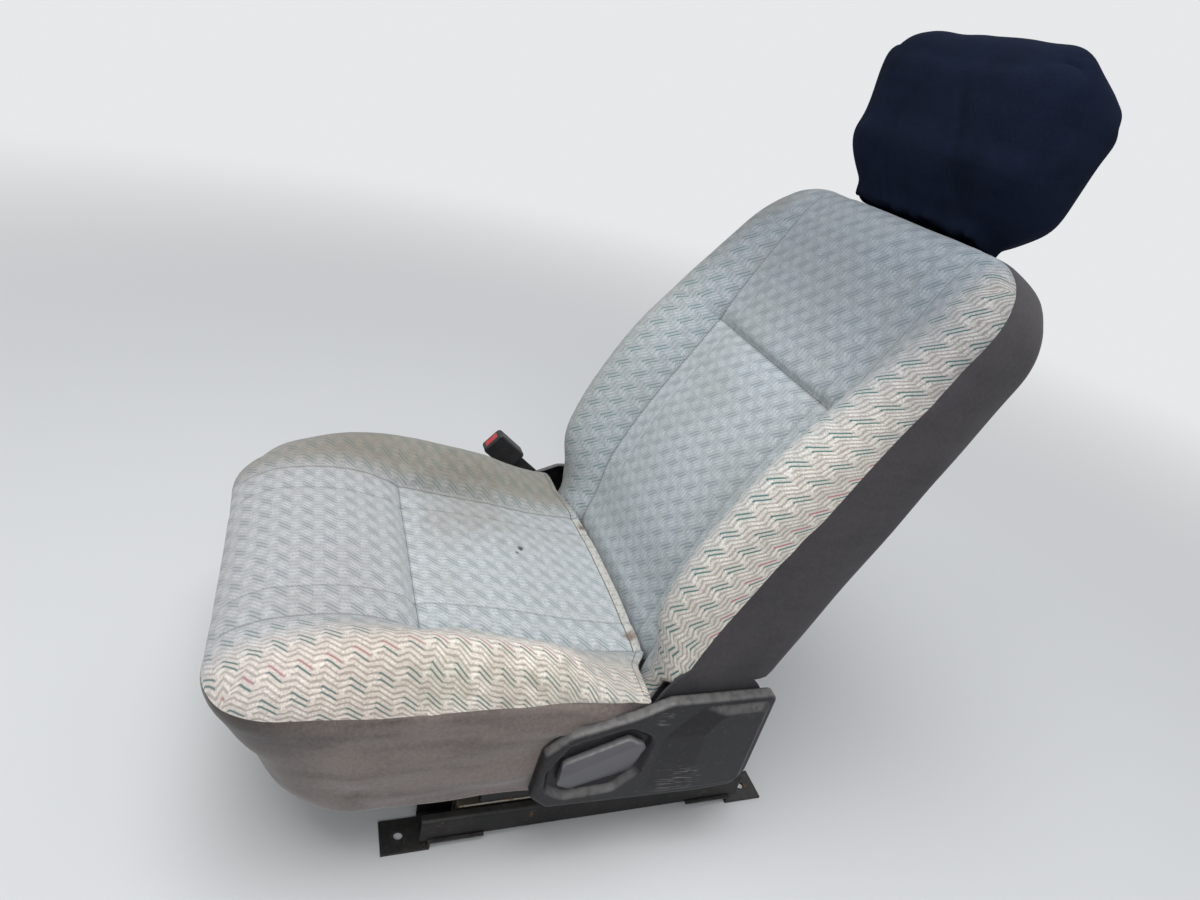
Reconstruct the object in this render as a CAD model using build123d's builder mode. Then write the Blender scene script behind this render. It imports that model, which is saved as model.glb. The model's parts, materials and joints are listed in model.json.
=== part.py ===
# Driver's seat of a small cab-over van, on its two floor rails.
#
# Frame: millimetres. X points to the door side, -Y is the way the seat faces, Z is up.
# The origin is the centre of the four floor bolts, and Z = 0 is the underside of the rail feet.
# The seat stands in the middle of its slide, with the back reclined and the headrest right down.

from build123d import *
from math import asin, cos, degrees, hypot, radians, sin
import os

os.makedirs("parts", exist_ok=True)

# Floor fixing
bolt_spacing_x = 400.0
bolt_spacing_y = 480.0
bolt_hole = 11.0
foot_thickness = 3.0
foot_width = 44.0
foot_reach = 22.0
foot_step = 35.0
foot_lap = 65.0

# Rails
rail_length = 436.0
rail_bottom = 14.0
rail_width = 38.0
rail_height = 34.0
rail_wall = 2.0
rail_slot = 16.0
rail_round = 5.0
running_gap = 0.3
side_gap = 0.5
upper_rail_length = 350.0
upper_rail_y = 0.0
upper_rail_top = 62.0
web_thickness = 5.0
flange_thickness = 2.5
flange_width = 26.0
web_hole = 7.0
web_hole_pitch = 100.0
web_hole_count = 3

# Steel frame under the cushion
frame_half_width = 226.0
frame_front = -345.0
frame_rear = 92.0
frame_bottom = 108.0
frame_height = 42.0
frame_depth = 26.0
frame_wall = 2.5
frame_bend = 60.0
rear_tube_diameter = 24.0
riser_length = 64.0
riser_width = 24.0
riser_wall = 3.0
riser_front_y = -118.0
window_length = 38.0
window_height = 18.0

# Zigzag springs
spring_count = 3
spring_pitch_x = 112.0
spring_wire = 4.4
spring_sides = 6
spring_half_wave = 36.0
spring_swing = 46.0
spring_bend = 10.0

# Release bar of the slide
bar_diameter = 10.0
bar_sides = 10
bar_front = -352.0
bar_bend = 26.0
end_bend = 12.0
bar_half_width = 168.0
bar_overhang = 4.0
latch_y = -60.0

# Recliner
pivot_y = 112.0
pivot_z = 220.0
recline = 25.4
fold_forward = 15.0
pin_diameter = 16.0
pin_clearance = 0.05
pin_end = 2.0
arm_thickness = 4.0
arm_gap = 0.5
lower_arm_radius = 28.0
lower_arm_edge = 12.0
lower_arm_front = -94.0
arm_foot_gap = 6.0
arm_heel_gap = 4.0
upper_arm_radius = 26.0
upper_arm_width = 36.0
upper_arm_length = 150.0
moving_gap = 5.0
safe_gap = moving_gap + 1.0

# Widths of the foam, outwards from the steel frame
back_foam = 19.0
back_half_width = frame_half_width + back_foam
cushion_half_width = back_half_width + moving_gap
soft_gap = 0.3

# Cushion
cushion_front = -452.0
cushion_rear = 108.0
cushion_bottom = 102.0
nose_z = 270.0
front_corner = 90.0
skirt_front = -378.0
skirt_corner = 95.0
skirt_tuck = 15.0
insert_half_width = 148.0
insert_front_y = -236.0
cushion_crown_in = 196.0
cushion_crown_out = 228.0
# Top of the cushion, from the rear forwards: y, then the heights of panel, bolster and outer edge
cushion_rows = (
    (cushion_rear, 211.0, 254.0, 248.0),
    (0.0, 232.0, 266.0, 256.0),
    (-120.0, 256.0, 298.0, 270.0),
    (insert_front_y, 280.0, 322.0, 274.0),
    (-310.0, 302.0, 322.0, 273.0),
    (-390.0, 301.0, 304.0, 270.0),
    (-432.0, 290.0, 287.0, 266.0),
    (cushion_front - 10.0, 268.0, 262.0, 252.0),
)

# Back
back_height = 584.0
back_front = 79.0
back_waist = 60.0
back_swell = 110.0
back_rear = 45.0
back_rear_top = 6.0
back_corner = 85.0
back_narrow = frame_half_width - moving_gap
back_skirt = lower_arm_radius + safe_gap
back_insert_half_width = 150.0
bolster_root = 50.0
bolster_dip = 12.0
back_crown_in = 192.0
back_crown_out = 226.0
# Bolsters of the back, upwards: distance along the back, then how far forward crown and edge are
back_rows = (
    (9.0, 93.0, 80.0),
    (70.0, 140.0, 88.0),
    (120.0, 154.0, 90.0),
    (190.0, 160.0, 90.0),
    (280.0, 157.0, 90.0),
    (360.0, 142.0, 89.0),
    (445.0, 119.0, 87.0),
    (510.0, 101.0, 84.0),
    (back_height, 78.0, 74.0),
)

# Recliner covers
cover_rim = cushion_half_width + soft_gap
cover_depth = 13.0
cover_face = cover_rim + cover_depth
cover_wall = 2.5
cover_round = 4.0
cover_corner = 12.0
cover_lap = 8.0
cover_outline = (
    (-112.0, 130.0),
    (-90.0, 109.0),
    (110.0, 101.0),
    (160.0, 104.0),
    (172.0, 130.0),
    (172.0, 262.0),
    (33.0, 262.0),
    (-8.0, 244.0),
    (-78.0, 225.0),
    (-106.0, 198.0),
)
screw_place = (-84.0, 193.0)
screw_recess = 4.5
screw_recess_depth = 2.0
rear_boss_place = (84.0, 150.0)
boss_radius = 6.0
inner_cover_depth = 10.0
inner_cover_edge = 3.0

# Swell of the outer cover behind the dish: its foot on the face, and its flat top
swell_height = 7.0
swell_corner = 10.0
swell_foot = ((34.0, 112.0), (36.0, 208.0), (74.0, 253.0), (165.0, 253.0), (165.0, 112.0))
swell_top = ((86.0, 120.0), (84.0, 214.0), (102.0, 242.0), (156.0, 244.0), (156.0, 120.0))

# Recline lever and its dish
dish_depth = 8.0
dish_slope = 6.0
dish_corner = 17.0
dish_outline = (
    (-101.0, 136.0),
    (-104.0, 170.0),
    (-81.0, 215.0),
    (-10.0, 234.0),
    (28.0, 212.0),
    (22.0, 150.0),
    (-8.0, 120.0),
    (-74.0, 117.0),
)
lever_outline = (
    (-84.0, 148.0),
    (-82.0, 181.0),
    (-8.0, 213.0),
    (16.0, 198.0),
    (10.0, 151.0),
    (-66.0, 134.0),
)
lever_ridge = ((-76.0, 166.0), (-8.0, 199.0))
lever_corner = 9.0
lever_edge = 4.5
lever_height = 10.0
lever_half_width = 30.0
lever_shaft = (-9.0, 158.5)
shaft_radius = 5.0
shaft_gap = 0.5
shaft_sunk = 1.0

# Headrest
post_diameter = 12.0
post_spacing = 140.0
post_set_back = 38.0
post_depth = 120.0
post_tip = 1.5
post_well = 8.0
sleeve_diameter = 20.0
sleeve_flange = 30.0
sleeve_flange_height = 4.0
sleeve_length = 70.0
sleeve_clearance = 0.1
headrest_half_width = 150.0
headrest_height = 190.0
headrest_depth = 118.0
headrest_lean = 13.0
headrest_foot_half_width = 110.0
headrest_waist = 0.35
headrest_round = 50.0
headrest_corner = 40.0
post_in_pad = 90.0

# Buckle
buckle_anchor = (58.0, 184.0)
anchor_radius = 9.0
anchor_head = 5.0
anchor_gap = 1.0
buckle_tip = (-84.0, 300.0)
buckle_length = 58.0
buckle_width = 40.0
buckle_thickness = 22.0
buckle_corner = 6.0
buckle_edge = 2.0
strap_width = 22.0
strap_thickness = 3.0
strap_length = 130.0
button_width = 24.0
button_thickness = 12.0
button_depth = 16.0

rail_x = bolt_spacing_x / 2
rail_top = rail_bottom + rail_height
frame_top = frame_bottom + frame_height
arm_inner = frame_half_width
arm_outer = frame_half_width + arm_thickness
upper_arm_inner = arm_outer + arm_gap
lean = radians(recline)
upright = lean - radians(fold_forward)
sides = (("outer", 1), ("inner", -1))


def save(solid, label):
    """Name a finished piece and write it out."""
    solid.label = label
    export_step(solid, "parts/" + label + ".step")


def outline_face(plane, points, corner=0.0, inset=0.0):
    """A closed outline on a plane, moved inwards by inset, with its corners rounded."""
    with BuildSketch(plane) as made:
        with BuildLine():
            Polyline(*points, close=True)
        make_face()
        if inset:
            offset(amount=-inset, kind=Kind.INTERSECTION)
        if corner:
            fillet(made.vertices(), corner)
    return made.sketch


# Plane of the back seen from the door side: local x runs up the back, local y runs forward.
back_side = Plane(origin=(0, pivot_y, pivot_z), x_dir=(0, sin(lean), cos(lean)), z_dir=(1, 0, 0))
# Plane of the back seen from the front: local x is the row's X, local y runs up the back.
back_face = Plane(origin=(0, pivot_y, pivot_z), x_dir=(1, 0, 0), z_dir=(0, -cos(lean), sin(lean)))
# The same side view with the back folded fully forward.
upright_side = Plane(
    origin=(0, pivot_y, pivot_z), x_dir=(0, sin(upright), cos(upright)), z_dir=(1, 0, 0)
)
# Plane square to the headrest posts, through the recliner axis: its local y runs rearwards.
back_cross = Plane(origin=(0, pivot_y, pivot_z), x_dir=(1, 0, 0), z_dir=(0, sin(lean), cos(lean)))


# Lower rails: a lipped channel on two pressed feet
foot_end = bolt_spacing_y / 2 + foot_reach
foot_heel = bolt_spacing_y / 2 - foot_step
foot_inner = foot_heel - foot_lap
for side_name, side in sides:
    with BuildPart() as lower_rail:
        with BuildSketch(Plane.XZ) as section:
            with Locations((side * rail_x, rail_bottom + rail_height / 2)):
                Rectangle(rail_width, rail_height)
            fillet(section.vertices().group_by(Axis.Y)[-1], rail_round)
            with Locations((side * rail_x, rail_bottom + rail_height / 2)):
                Rectangle(rail_width - 2 * rail_wall, rail_height - 2 * rail_wall, mode=Mode.SUBTRACT)
            with Locations((side * rail_x, rail_top - rail_wall)):
                Rectangle(rail_slot, 4 * rail_wall, mode=Mode.SUBTRACT)
        extrude(amount=rail_length / 2, both=True)
        for end in (-1, 1):
            with BuildSketch(Plane.YZ.offset(side * rail_x)) as foot:
                with BuildLine():
                    Polyline(
                        (end * foot_end, 0),
                        (end * foot_heel, 0),
                        (end * foot_heel, rail_bottom - foot_thickness),
                        (end * foot_inner, rail_bottom - foot_thickness),
                        (end * foot_inner, rail_bottom),
                        (end * (foot_heel + foot_thickness), rail_bottom),
                        (end * (foot_heel + foot_thickness), foot_thickness),
                        (end * foot_end, foot_thickness),
                        close=True,
                    )
                make_face()
            extrude(amount=foot_width / 2, both=True)
        with Locations((side * rail_x, -bolt_spacing_y / 2), (side * rail_x, bolt_spacing_y / 2)):
            Hole(bolt_hole / 2)
    save(lower_rail.part, "lower_rail_" + side_name)


# Upper rails: a trough hooked under the lips, with a web up through the slot
trough_bottom = rail_bottom + rail_wall + running_gap
trough_top = rail_top - rail_wall - side_gap
trough_width = rail_width - 2 * rail_wall - 2 * side_gap
for side_name, side in sides:
    with BuildPart() as upper_rail:
        with BuildSketch(Plane.XZ.offset(-upper_rail_y)) as section:
            with Locations((side * rail_x, (trough_bottom + trough_top) / 2)):
                Rectangle(trough_width, trough_top - trough_bottom)
            with Locations((side * rail_x, trough_bottom + flange_thickness)):
                Rectangle(
                    trough_width - 2 * flange_thickness,
                    rail_height,
                    align=(Align.CENTER, Align.MIN),
                    mode=Mode.SUBTRACT,
                )
            with Locations((side * rail_x, trough_bottom)):
                Rectangle(web_thickness, upper_rail_top - trough_bottom, align=(Align.CENTER, Align.MIN))
            with Locations((side * rail_x, upper_rail_top - flange_thickness)):
                Rectangle(flange_width, flange_thickness, align=(Align.CENTER, Align.MIN))
        extrude(amount=upper_rail_length / 2, both=True)
        with BuildSketch(Plane.YZ.offset(side * rail_x)) as holes:
            with Locations((upper_rail_y, (rail_top + upper_rail_top - flange_thickness) / 2)):
                with GridLocations(web_hole_pitch, 0, web_hole_count, 1):
                    Circle(web_hole / 2)
        extrude(amount=web_thickness, both=True, mode=Mode.SUBTRACT)
    save(upper_rail.part, "upper_rail_" + side_name)


# Risers between the rails and the cushion frame
riser_height = frame_bottom - upper_rail_top
for side_name, side in sides:
    for end_name, riser_y in (("front", riser_front_y), ("rear", frame_rear - riser_length / 2)):
        with BuildPart() as riser:
            with BuildSketch(Plane.XZ.offset(-riser_y)) as section:
                with Locations((side * rail_x, upper_rail_top + riser_height / 2)):
                    Rectangle(riser_width, riser_height)
                with Locations((side * (rail_x - riser_wall), upper_rail_top + riser_height / 2)):
                    Rectangle(riser_width, riser_height - 2 * riser_wall, mode=Mode.SUBTRACT)
            extrude(amount=riser_length / 2, both=True)
            with BuildSketch(Plane.YZ.offset(side * rail_x)) as lightening:
                with Locations((riser_y, upper_rail_top + riser_height / 2)):
                    Rectangle(window_length, window_height)
            extrude(amount=riser_width, both=True, mode=Mode.SUBTRACT)
        save(riser.part, "riser_" + end_name + "_" + side_name)


# Cushion frame: one channel bent round three sides, open inwards, and a rear tube
with BuildPart() as cushion_frame:
    with BuildLine(Plane.XY.offset(frame_bottom + frame_height / 2)) as frame_line:
        FilletPolyline(
            (frame_half_width, frame_rear),
            (frame_half_width, frame_front),
            (-frame_half_width, frame_front),
            (-frame_half_width, frame_rear),
            radius=frame_bend,
        )
    with BuildSketch(Plane(origin=frame_line.line @ 0, x_dir=(-1, 0, 0), z_dir=frame_line.line % 0)):
        with Locations((frame_depth / 2, 0)):
            Rectangle(frame_depth, frame_height)
        with Locations((frame_wall + frame_depth / 2, 0)):
            Rectangle(frame_depth, frame_height - 2 * frame_wall, mode=Mode.SUBTRACT)
    sweep(path=frame_line.line)
    with BuildSketch(Plane.YZ.offset(-frame_half_width)) as rear_section:
        with Locations((frame_rear - rear_tube_diameter / 2, frame_top - rear_tube_diameter / 2)):
            Circle(rear_tube_diameter / 2)
            Circle(rear_tube_diameter / 2 - frame_wall, mode=Mode.SUBTRACT)
    extrude(amount=2 * frame_half_width)
save(cushion_frame.part, "cushion_frame")


# Springs: flat zigzag wires laid on the front channel and the rear tube, each bend in two creases
spring_start = frame_front + frame_depth / 2
spring_end = frame_rear - rear_tube_diameter / 2
spring_run = spring_end - spring_start
wave_count = int(spring_run // spring_half_wave)
spring_step = spring_run / wave_count
spring_z = frame_top + spring_wire / 2 * cos(radians(180 / spring_sides))
with BuildPart() as cushion_springs:
    for number in range(spring_count):
        spring_x = (number - (spring_count - 1) / 2) * spring_pitch_x
        route = [(spring_x - spring_swing / 2, spring_start)]
        for wave in range(wave_count):
            way = (-1) ** wave
            turn = way * spring_swing / 2
            turn_y = spring_start + (wave + 0.5) * spring_step
            route.append((spring_x - turn, turn_y - spring_bend))
            route.append((spring_x - turn + way * spring_bend, turn_y))
            route.append((spring_x + turn - way * spring_bend, turn_y))
            route.append((spring_x + turn, turn_y + spring_bend))
        route.append((route[-1][0], spring_end))
        with BuildLine(Plane.XY.offset(spring_z)) as wire:
            Polyline(*route)
        with BuildSketch(Plane(origin=wire.line @ 0, x_dir=(1, 0, 0), z_dir=wire.line % 0)):
            RegularPolygon(spring_wire / 2, spring_sides)
        sweep(path=wire.line, transition=Transition.RIGHT)
save(cushion_springs.part, "cushion_springs")


# Release bar: one bent rod under the front edge, its ends turned out over both upper rails
bar_z = upper_rail_top + bar_diameter / 2 * cos(radians(180 / bar_sides))
bar_end = rail_x + flange_width / 2 - bar_overhang
with BuildPart() as release_bar:
    with BuildLine(Plane.XY.offset(bar_z)) as bar_line:
        FilletPolyline(
            (-bar_end, latch_y),
            (-bar_half_width, latch_y),
            (-bar_half_width, bar_front),
            (bar_half_width, bar_front),
            (bar_half_width, latch_y),
            (bar_end, latch_y),
            radius=(end_bend, bar_bend, bar_bend, end_bend),
        )
    with BuildSketch(Plane(origin=bar_line.line @ 0, x_dir=(0, 1, 0), z_dir=bar_line.line % 0)):
        RegularPolygon(bar_diameter / 2, bar_sides)
    sweep(path=bar_line.line)
save(release_bar.part, "release_bar")


# Recliner lower arms: plates on the frame's sides, each with its pivot pin and a screw lug in front
arm_foot_z = frame_bottom + arm_foot_gap
lug_top = screw_place[1] + boss_radius + arm_heel_gap
for side_name, side in sides:
    with BuildPart() as lower_arm:
        with BuildSketch(Plane.YZ.offset(side * arm_inner)) as outline:
            with BuildLine():
                Polyline(
                    (lower_arm_front, arm_foot_z),
                    (frame_rear - arm_heel_gap, arm_foot_z),
                    (pivot_y + lower_arm_radius - arm_foot_gap, pivot_z - lower_arm_edge),
                    (pivot_y - lower_arm_radius + arm_heel_gap, pivot_z + lower_arm_edge),
                    (pivot_y - 2 * lower_arm_radius, pivot_z - lower_arm_radius),
                    (screw_place[0] + 2 * boss_radius, lug_top),
                    (screw_place[0], lug_top),
                    (lower_arm_front, screw_place[1]),
                    close=True,
                )
            make_face()
            with Locations((pivot_y, pivot_z)):
                Circle(lower_arm_radius)
        extrude(amount=side * arm_thickness)
        with BuildSketch(Plane.YZ.offset(side * arm_inner)):
            with Locations((pivot_y, pivot_z)):
                Circle(pin_diameter / 2)
        extrude(amount=side * (2 * arm_thickness + 2 * arm_gap + pin_end))
    save(lower_arm.part, "recliner_lower_arm_" + side_name)


# Recliner upper arms: a disc on the pin and a strap that goes up inside the back
for side_name, side in sides:
    with BuildPart() as upper_arm:
        with BuildSketch(back_side.offset(side * upper_arm_inner)):
            Circle(upper_arm_radius)
            with Locations((upper_arm_length / 2, 0)):
                Rectangle(upper_arm_length, upper_arm_width)
            Circle(pin_diameter / 2 + pin_clearance, mode=Mode.SUBTRACT)
        extrude(amount=side * arm_thickness)
    save(upper_arm.part, "recliner_upper_arm_" + side_name)


# Cushion: a plan that narrows to the skirt's foot, under a top lofted from rows across the seat,
# then hollowed for the frame and cut clear of the back
bolster_gap = hypot(*back_rows[0][:2]) + safe_gap
waist_gap = back_waist + safe_gap
pocket_half_width = max(frame_half_width, rail_x + riser_width / 2) + soft_gap
pocket_top = spring_z + spring_wire / 2 + soft_gap
crown_top = max(crown for y, panel, crown, edge in cushion_rows) + moving_gap


def cushion_plan(z, half_width, front, corner):
    """The cushion's outline seen from above, at height z, with its two front corners rounded."""
    with BuildSketch(Plane.XY.offset(z)) as plan:
        with Locations((0, (front + cushion_rear) / 2)):
            Rectangle(2 * half_width, cushion_rear - front)
        fillet(plan.vertices().group_by(Axis.Y)[0], corner)
    return plan.sketch


def cushion_section(y, panel, crown, edge):
    """The cushion cut across at y: flat panel, then up to the bolster's crown and down to the edge."""
    reach = cushion_half_width + moving_gap
    shoulder = crown - (crown - edge) / 4
    half = (
        (insert_half_width, panel),
        (cushion_crown_in, crown),
        (cushion_crown_out, shoulder),
        (reach, edge),
        (reach, cushion_bottom - moving_gap),
    )
    mirrored = tuple((-x, z) for x, z in reversed(half))
    return outline_face(Plane.XZ.offset(-y), half + mirrored)


with BuildPart() as cushion:
    upper_plan = cushion_plan(nose_z, cushion_half_width, cushion_front, front_corner)
    skirt_plan = cushion_plan(cushion_bottom, cushion_half_width - skirt_tuck, skirt_front, skirt_corner)
    loft(sections=[skirt_plan, upper_plan])
    extrude(upper_plan, amount=crown_top - nose_z)
    loft(sections=[cushion_section(*row) for row in cushion_rows], ruled=True, mode=Mode.INTERSECT)
    with BuildSketch(Plane.XY.offset(cushion_bottom)) as pocket:
        with Locations((0, (frame_front + frame_rear) / 2)):
            Rectangle(2 * pocket_half_width, frame_rear - frame_front + 2 * soft_gap)
        fillet(pocket.vertices().group_by(Axis.Y)[0], frame_bend)
    extrude(amount=pocket_top - cushion_bottom, mode=Mode.SUBTRACT)
    with BuildSketch(Plane.YZ):
        with Locations((pivot_y, pivot_z)):
            Circle(waist_gap)
    extrude(amount=cushion_half_width, both=True, mode=Mode.SUBTRACT)
    for side_name, side in sides:
        with BuildSketch(Plane.YZ.offset(side * insert_half_width)):
            with Locations((pivot_y, pivot_z)):
                Circle(bolster_gap)
        extrude(amount=side * cushion_half_width, mode=Mode.SUBTRACT)
        swept = tuple((up, crown) for up, crown, edge in back_rows if up <= upper_arm_length)
        swept_outline = swept + ((swept[-1][0], 0), (0, 0))
        folded = outline_face(
            upright_side.offset(side * insert_half_width), swept_outline, inset=-safe_gap
        )
        extrude(folded, amount=side * cushion_half_width, mode=Mode.SUBTRACT)
        behind_cover = outline_face(
            Plane.YZ.offset(side * (frame_half_width - soft_gap)), cover_outline, inset=cover_lap
        )
        extrude(behind_cover, amount=side * cushion_half_width, mode=Mode.SUBTRACT)
        arm_middle = (lower_arm_front + cushion_rear) / 2
        with BuildSketch(Plane.XY.offset(cushion_bottom)):
            with Locations((side * (frame_half_width + arm_thickness), arm_middle)):
                Rectangle(4 * arm_thickness, cushion_rear - lower_arm_front + 2 * soft_gap)
        extrude(amount=frame_height, mode=Mode.SUBTRACT)
save(cushion.part, "cushion")


# Outer recliner cover: a moulded shell with a dish for the lever, a swell behind it and two bosses
def cover_plane(depth):
    """A plane of the outer cover, this far behind its face."""
    return Plane.YZ.offset(cover_face - depth)


with BuildPart() as cover_outer:
    extrude(outline_face(Plane.YZ.offset(cover_rim), cover_outline, cover_corner), amount=cover_depth)
    fillet(cover_outer.faces().sort_by(Axis.X)[-1].edges(), cover_round)
    loft(
        sections=[
            outline_face(cover_plane(0), swell_foot, swell_corner),
            outline_face(cover_plane(-swell_height), swell_top, swell_corner),
        ]
    )
    hollow = outline_face(Plane.YZ.offset(cover_rim), cover_outline, cover_corner, cover_wall)
    extrude(hollow, amount=cover_depth - cover_wall, mode=Mode.SUBTRACT)
    loft(
        sections=[
            outline_face(cover_plane(cover_wall), swell_foot, swell_corner, cover_wall),
            outline_face(cover_plane(cover_wall - swell_height), swell_top, swell_corner, cover_wall),
        ],
        mode=Mode.SUBTRACT,
    )
    loft(
        sections=[
            outline_face(cover_plane(cover_wall), dish_outline, dish_corner),
            outline_face(cover_plane(dish_depth + cover_wall), dish_outline, dish_corner, dish_slope),
        ]
    )
    for place, boss_end in ((screw_place, cover_wall), (rear_boss_place, cover_wall - swell_height)):
        with BuildSketch(Plane.YZ.offset(arm_outer)):
            with Locations(place):
                Circle(boss_radius)
        extrude(amount=cover_face - boss_end - arm_outer)
    loft(
        sections=[
            outline_face(cover_plane(0), dish_outline, dish_corner, cover_wall),
            outline_face(cover_plane(dish_depth), dish_outline, dish_corner, dish_slope + cover_wall),
        ],
        mode=Mode.SUBTRACT,
    )
    with BuildSketch(cover_plane(dish_depth + screw_recess_depth)):
        with Locations(screw_place):
            Circle(screw_recess)
    extrude(amount=cover_depth, mode=Mode.SUBTRACT)
    with BuildSketch(Plane.YZ.offset(cover_rim)):
        with Locations(lever_shaft):
            Circle(shaft_radius + shaft_gap)
    extrude(amount=cover_face, mode=Mode.SUBTRACT)
save(cover_outer.part, "recliner_cover_outer")


# Recline lever: a paddle with a roof-shaped face, on a shaft from the lower arm
lever_base = cover_face - dish_depth + soft_gap
ridge_y = lever_ridge[1][0] - lever_ridge[0][0]
ridge_z = lever_ridge[1][1] - lever_ridge[0][1]
roof_plane = Plane(
    origin=(lever_base, *lever_ridge[0]), x_dir=(0, -ridge_z, ridge_y), z_dir=(0, ridge_y, ridge_z)
)
roof_foot = 2 * lever_edge - lever_height
roof = ((-2 * lever_half_width, roof_foot), (0, lever_height), (2 * lever_half_width, roof_foot))
with BuildPart() as lever:
    extrude(outline_face(Plane.YZ.offset(lever_base), lever_outline, lever_corner), amount=lever_height)
    extrude(outline_face(roof_plane, roof), amount=4 * lever_half_width, both=True, mode=Mode.INTERSECT)
    with BuildSketch(Plane.YZ.offset(arm_outer)):
        with Locations(lever_shaft):
            Circle(shaft_radius)
    extrude(amount=lever_base + shaft_sunk - arm_outer)
save(lever.part, "recline_lever")


# Inner recliner cover: the outer one's outline, shallow and plain, with a hole for the buckle's bolt
with BuildPart() as cover_inner:
    inner_plate = outline_face(Plane.YZ.offset(-cover_rim), cover_outline, cover_corner)
    extrude(inner_plate, amount=-inner_cover_depth)
    chamfer(cover_inner.faces().sort_by(Axis.X)[0].edges(), inner_cover_edge)
    hollow = outline_face(Plane.YZ.offset(-cover_rim), cover_outline, cover_corner, cover_wall)
    extrude(hollow, amount=cover_wall - inner_cover_depth, mode=Mode.SUBTRACT)
    with BuildSketch(Plane.YZ.offset(-arm_outer)):
        with Locations(screw_place, rear_boss_place):
            Circle(boss_radius)
    extrude(amount=-(cover_rim + inner_cover_depth - cover_wall - arm_outer))
    with BuildSketch(Plane.YZ.offset(-cover_rim)):
        with Locations(buckle_anchor):
            Circle(anchor_radius + anchor_gap)
    extrude(amount=-2 * inner_cover_depth, mode=Mode.SUBTRACT)
save(cover_inner.part, "recliner_cover_inner")


# Seat belt buckle: a strap bolted to the inner lower arm, a housing and a button
reach_y = buckle_tip[0] - buckle_anchor[0]
reach_z = buckle_tip[1] - buckle_anchor[1]
reach = hypot(reach_y, reach_z)
strap_face = cover_rim + inner_cover_depth
strap_side = Plane(
    origin=(-strap_face, buckle_anchor[0], buckle_anchor[1]),
    x_dir=(0, reach_y / reach, reach_z / reach),
    z_dir=(-1, 0, 0),
)
with BuildPart() as buckle_strap:
    with BuildSketch(strap_side):
        with Locations((strap_length / 2, 0)):
            SlotOverall(strap_length + strap_width, strap_width)
    extrude(amount=strap_thickness)
    with BuildSketch(Plane.YZ.offset(-arm_outer)):
        with Locations(buckle_anchor):
            Circle(anchor_radius)
    extrude(amount=-(strap_face + strap_thickness + anchor_head - arm_outer))
save(buckle_strap.part, "buckle_strap")

with BuildPart() as buckle_housing:
    with BuildSketch(strap_side.offset(-(buckle_thickness - strap_thickness) / 2)):
        with Locations((reach - buckle_length / 2, 0)):
            RectangleRounded(buckle_length, buckle_width, buckle_corner)
    extrude(amount=buckle_thickness)
    chamfer(buckle_housing.faces().filter_by(Axis.X).edges(), buckle_edge)
    with BuildSketch(strap_side):
        with Locations((strap_length / 2, 0)):
            Rectangle(strap_length + strap_width, strap_width + 2 * soft_gap)
    extrude(amount=strap_thickness, mode=Mode.SUBTRACT)
    with BuildSketch(strap_side.offset(-button_thickness / 2 + strap_thickness / 2)):
        with Locations((reach, 0)):
            Rectangle(2 * button_depth, button_width)
    extrude(amount=button_thickness, mode=Mode.SUBTRACT)
save(buckle_housing.part, "buckle_housing")

with BuildPart() as buckle_button:
    with BuildSketch(strap_side.offset(-button_thickness / 2 + strap_thickness / 2 + soft_gap)):
        with Locations((reach - button_depth / 2 + soft_gap, 0)):
            Rectangle(button_depth - soft_gap, button_width - 2 * soft_gap)
    extrude(amount=button_thickness - 2 * soft_gap)
save(buckle_button.part, "buckle_button")


# Back pad: side view with two lofted bolsters, then cut for the arms and by the front view
def bolster_section(side, up, crown, edge):
    """One bolster cut across at a distance up the back."""
    shoulder = crown - (crown - edge) / 4
    corners = (
        (side * back_insert_half_width, -bolster_root),
        (side * back_insert_half_width, bolster_dip - back_front),
        (side * back_crown_in, -crown),
        (side * back_crown_out, -shoulder),
        (side * back_half_width, -edge),
        (side * back_half_width, -bolster_root),
    )
    return outline_face(back_cross.offset(up), corners)


with BuildPart() as back_pad:
    with BuildSketch(back_side) as side_view:
        with BuildLine():
            tail = CenterArc((0, 0), back_waist, 90, 90 + degrees(asin(back_rear / back_waist)))
            Polyline(
                tail @ 1,
                (back_waist, -back_rear),
                (back_height, -back_rear_top),
                (back_height, back_front),
                (back_swell, back_front),
                tail @ 0,
            )
        make_face()
    extrude(amount=back_half_width, both=True)
    for side_name, side in sides:
        loft(sections=[bolster_section(side, *row) for row in back_rows], ruled=True)
        with BuildSketch(Plane.XY.offset(pivot_z + back_skirt)):
            with Locations((side * (back_narrow + back_half_width / 2), pivot_y)):
                Rectangle(back_half_width, 4 * back_half_width)
        extrude(amount=-back_half_width, mode=Mode.SUBTRACT)
        with BuildSketch(back_side.offset(side * (upper_arm_inner - soft_gap))):
            with Locations((upper_arm_length / 2, 0)):
                Rectangle(upper_arm_length + 2 * soft_gap, upper_arm_width + 2 * soft_gap)
        extrude(amount=side * (arm_thickness + 2 * soft_gap), mode=Mode.SUBTRACT)
    with BuildSketch(back_face.offset(-2 * back_front)) as front_view:
        with Locations((0, back_height / 2 - back_waist)):
            Rectangle(2 * back_half_width, back_height + 2 * back_waist)
        fillet(front_view.vertices().group_by(Axis.Y)[-1], back_corner)
        with Locations((0, -back_waist / 2)):
            Rectangle(3 * back_half_width, 4 * back_waist)
    extrude(amount=5 * back_front, mode=Mode.INTERSECT)
    with BuildSketch(back_cross.offset(back_height)):
        with Locations((-post_spacing / 2, -post_set_back), (post_spacing / 2, -post_set_back)):
            Circle(sleeve_diameter / 2 + soft_gap)
    extrude(amount=-(post_depth + post_well), mode=Mode.SUBTRACT)
save(back_pad.part, "back_pad")


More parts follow.
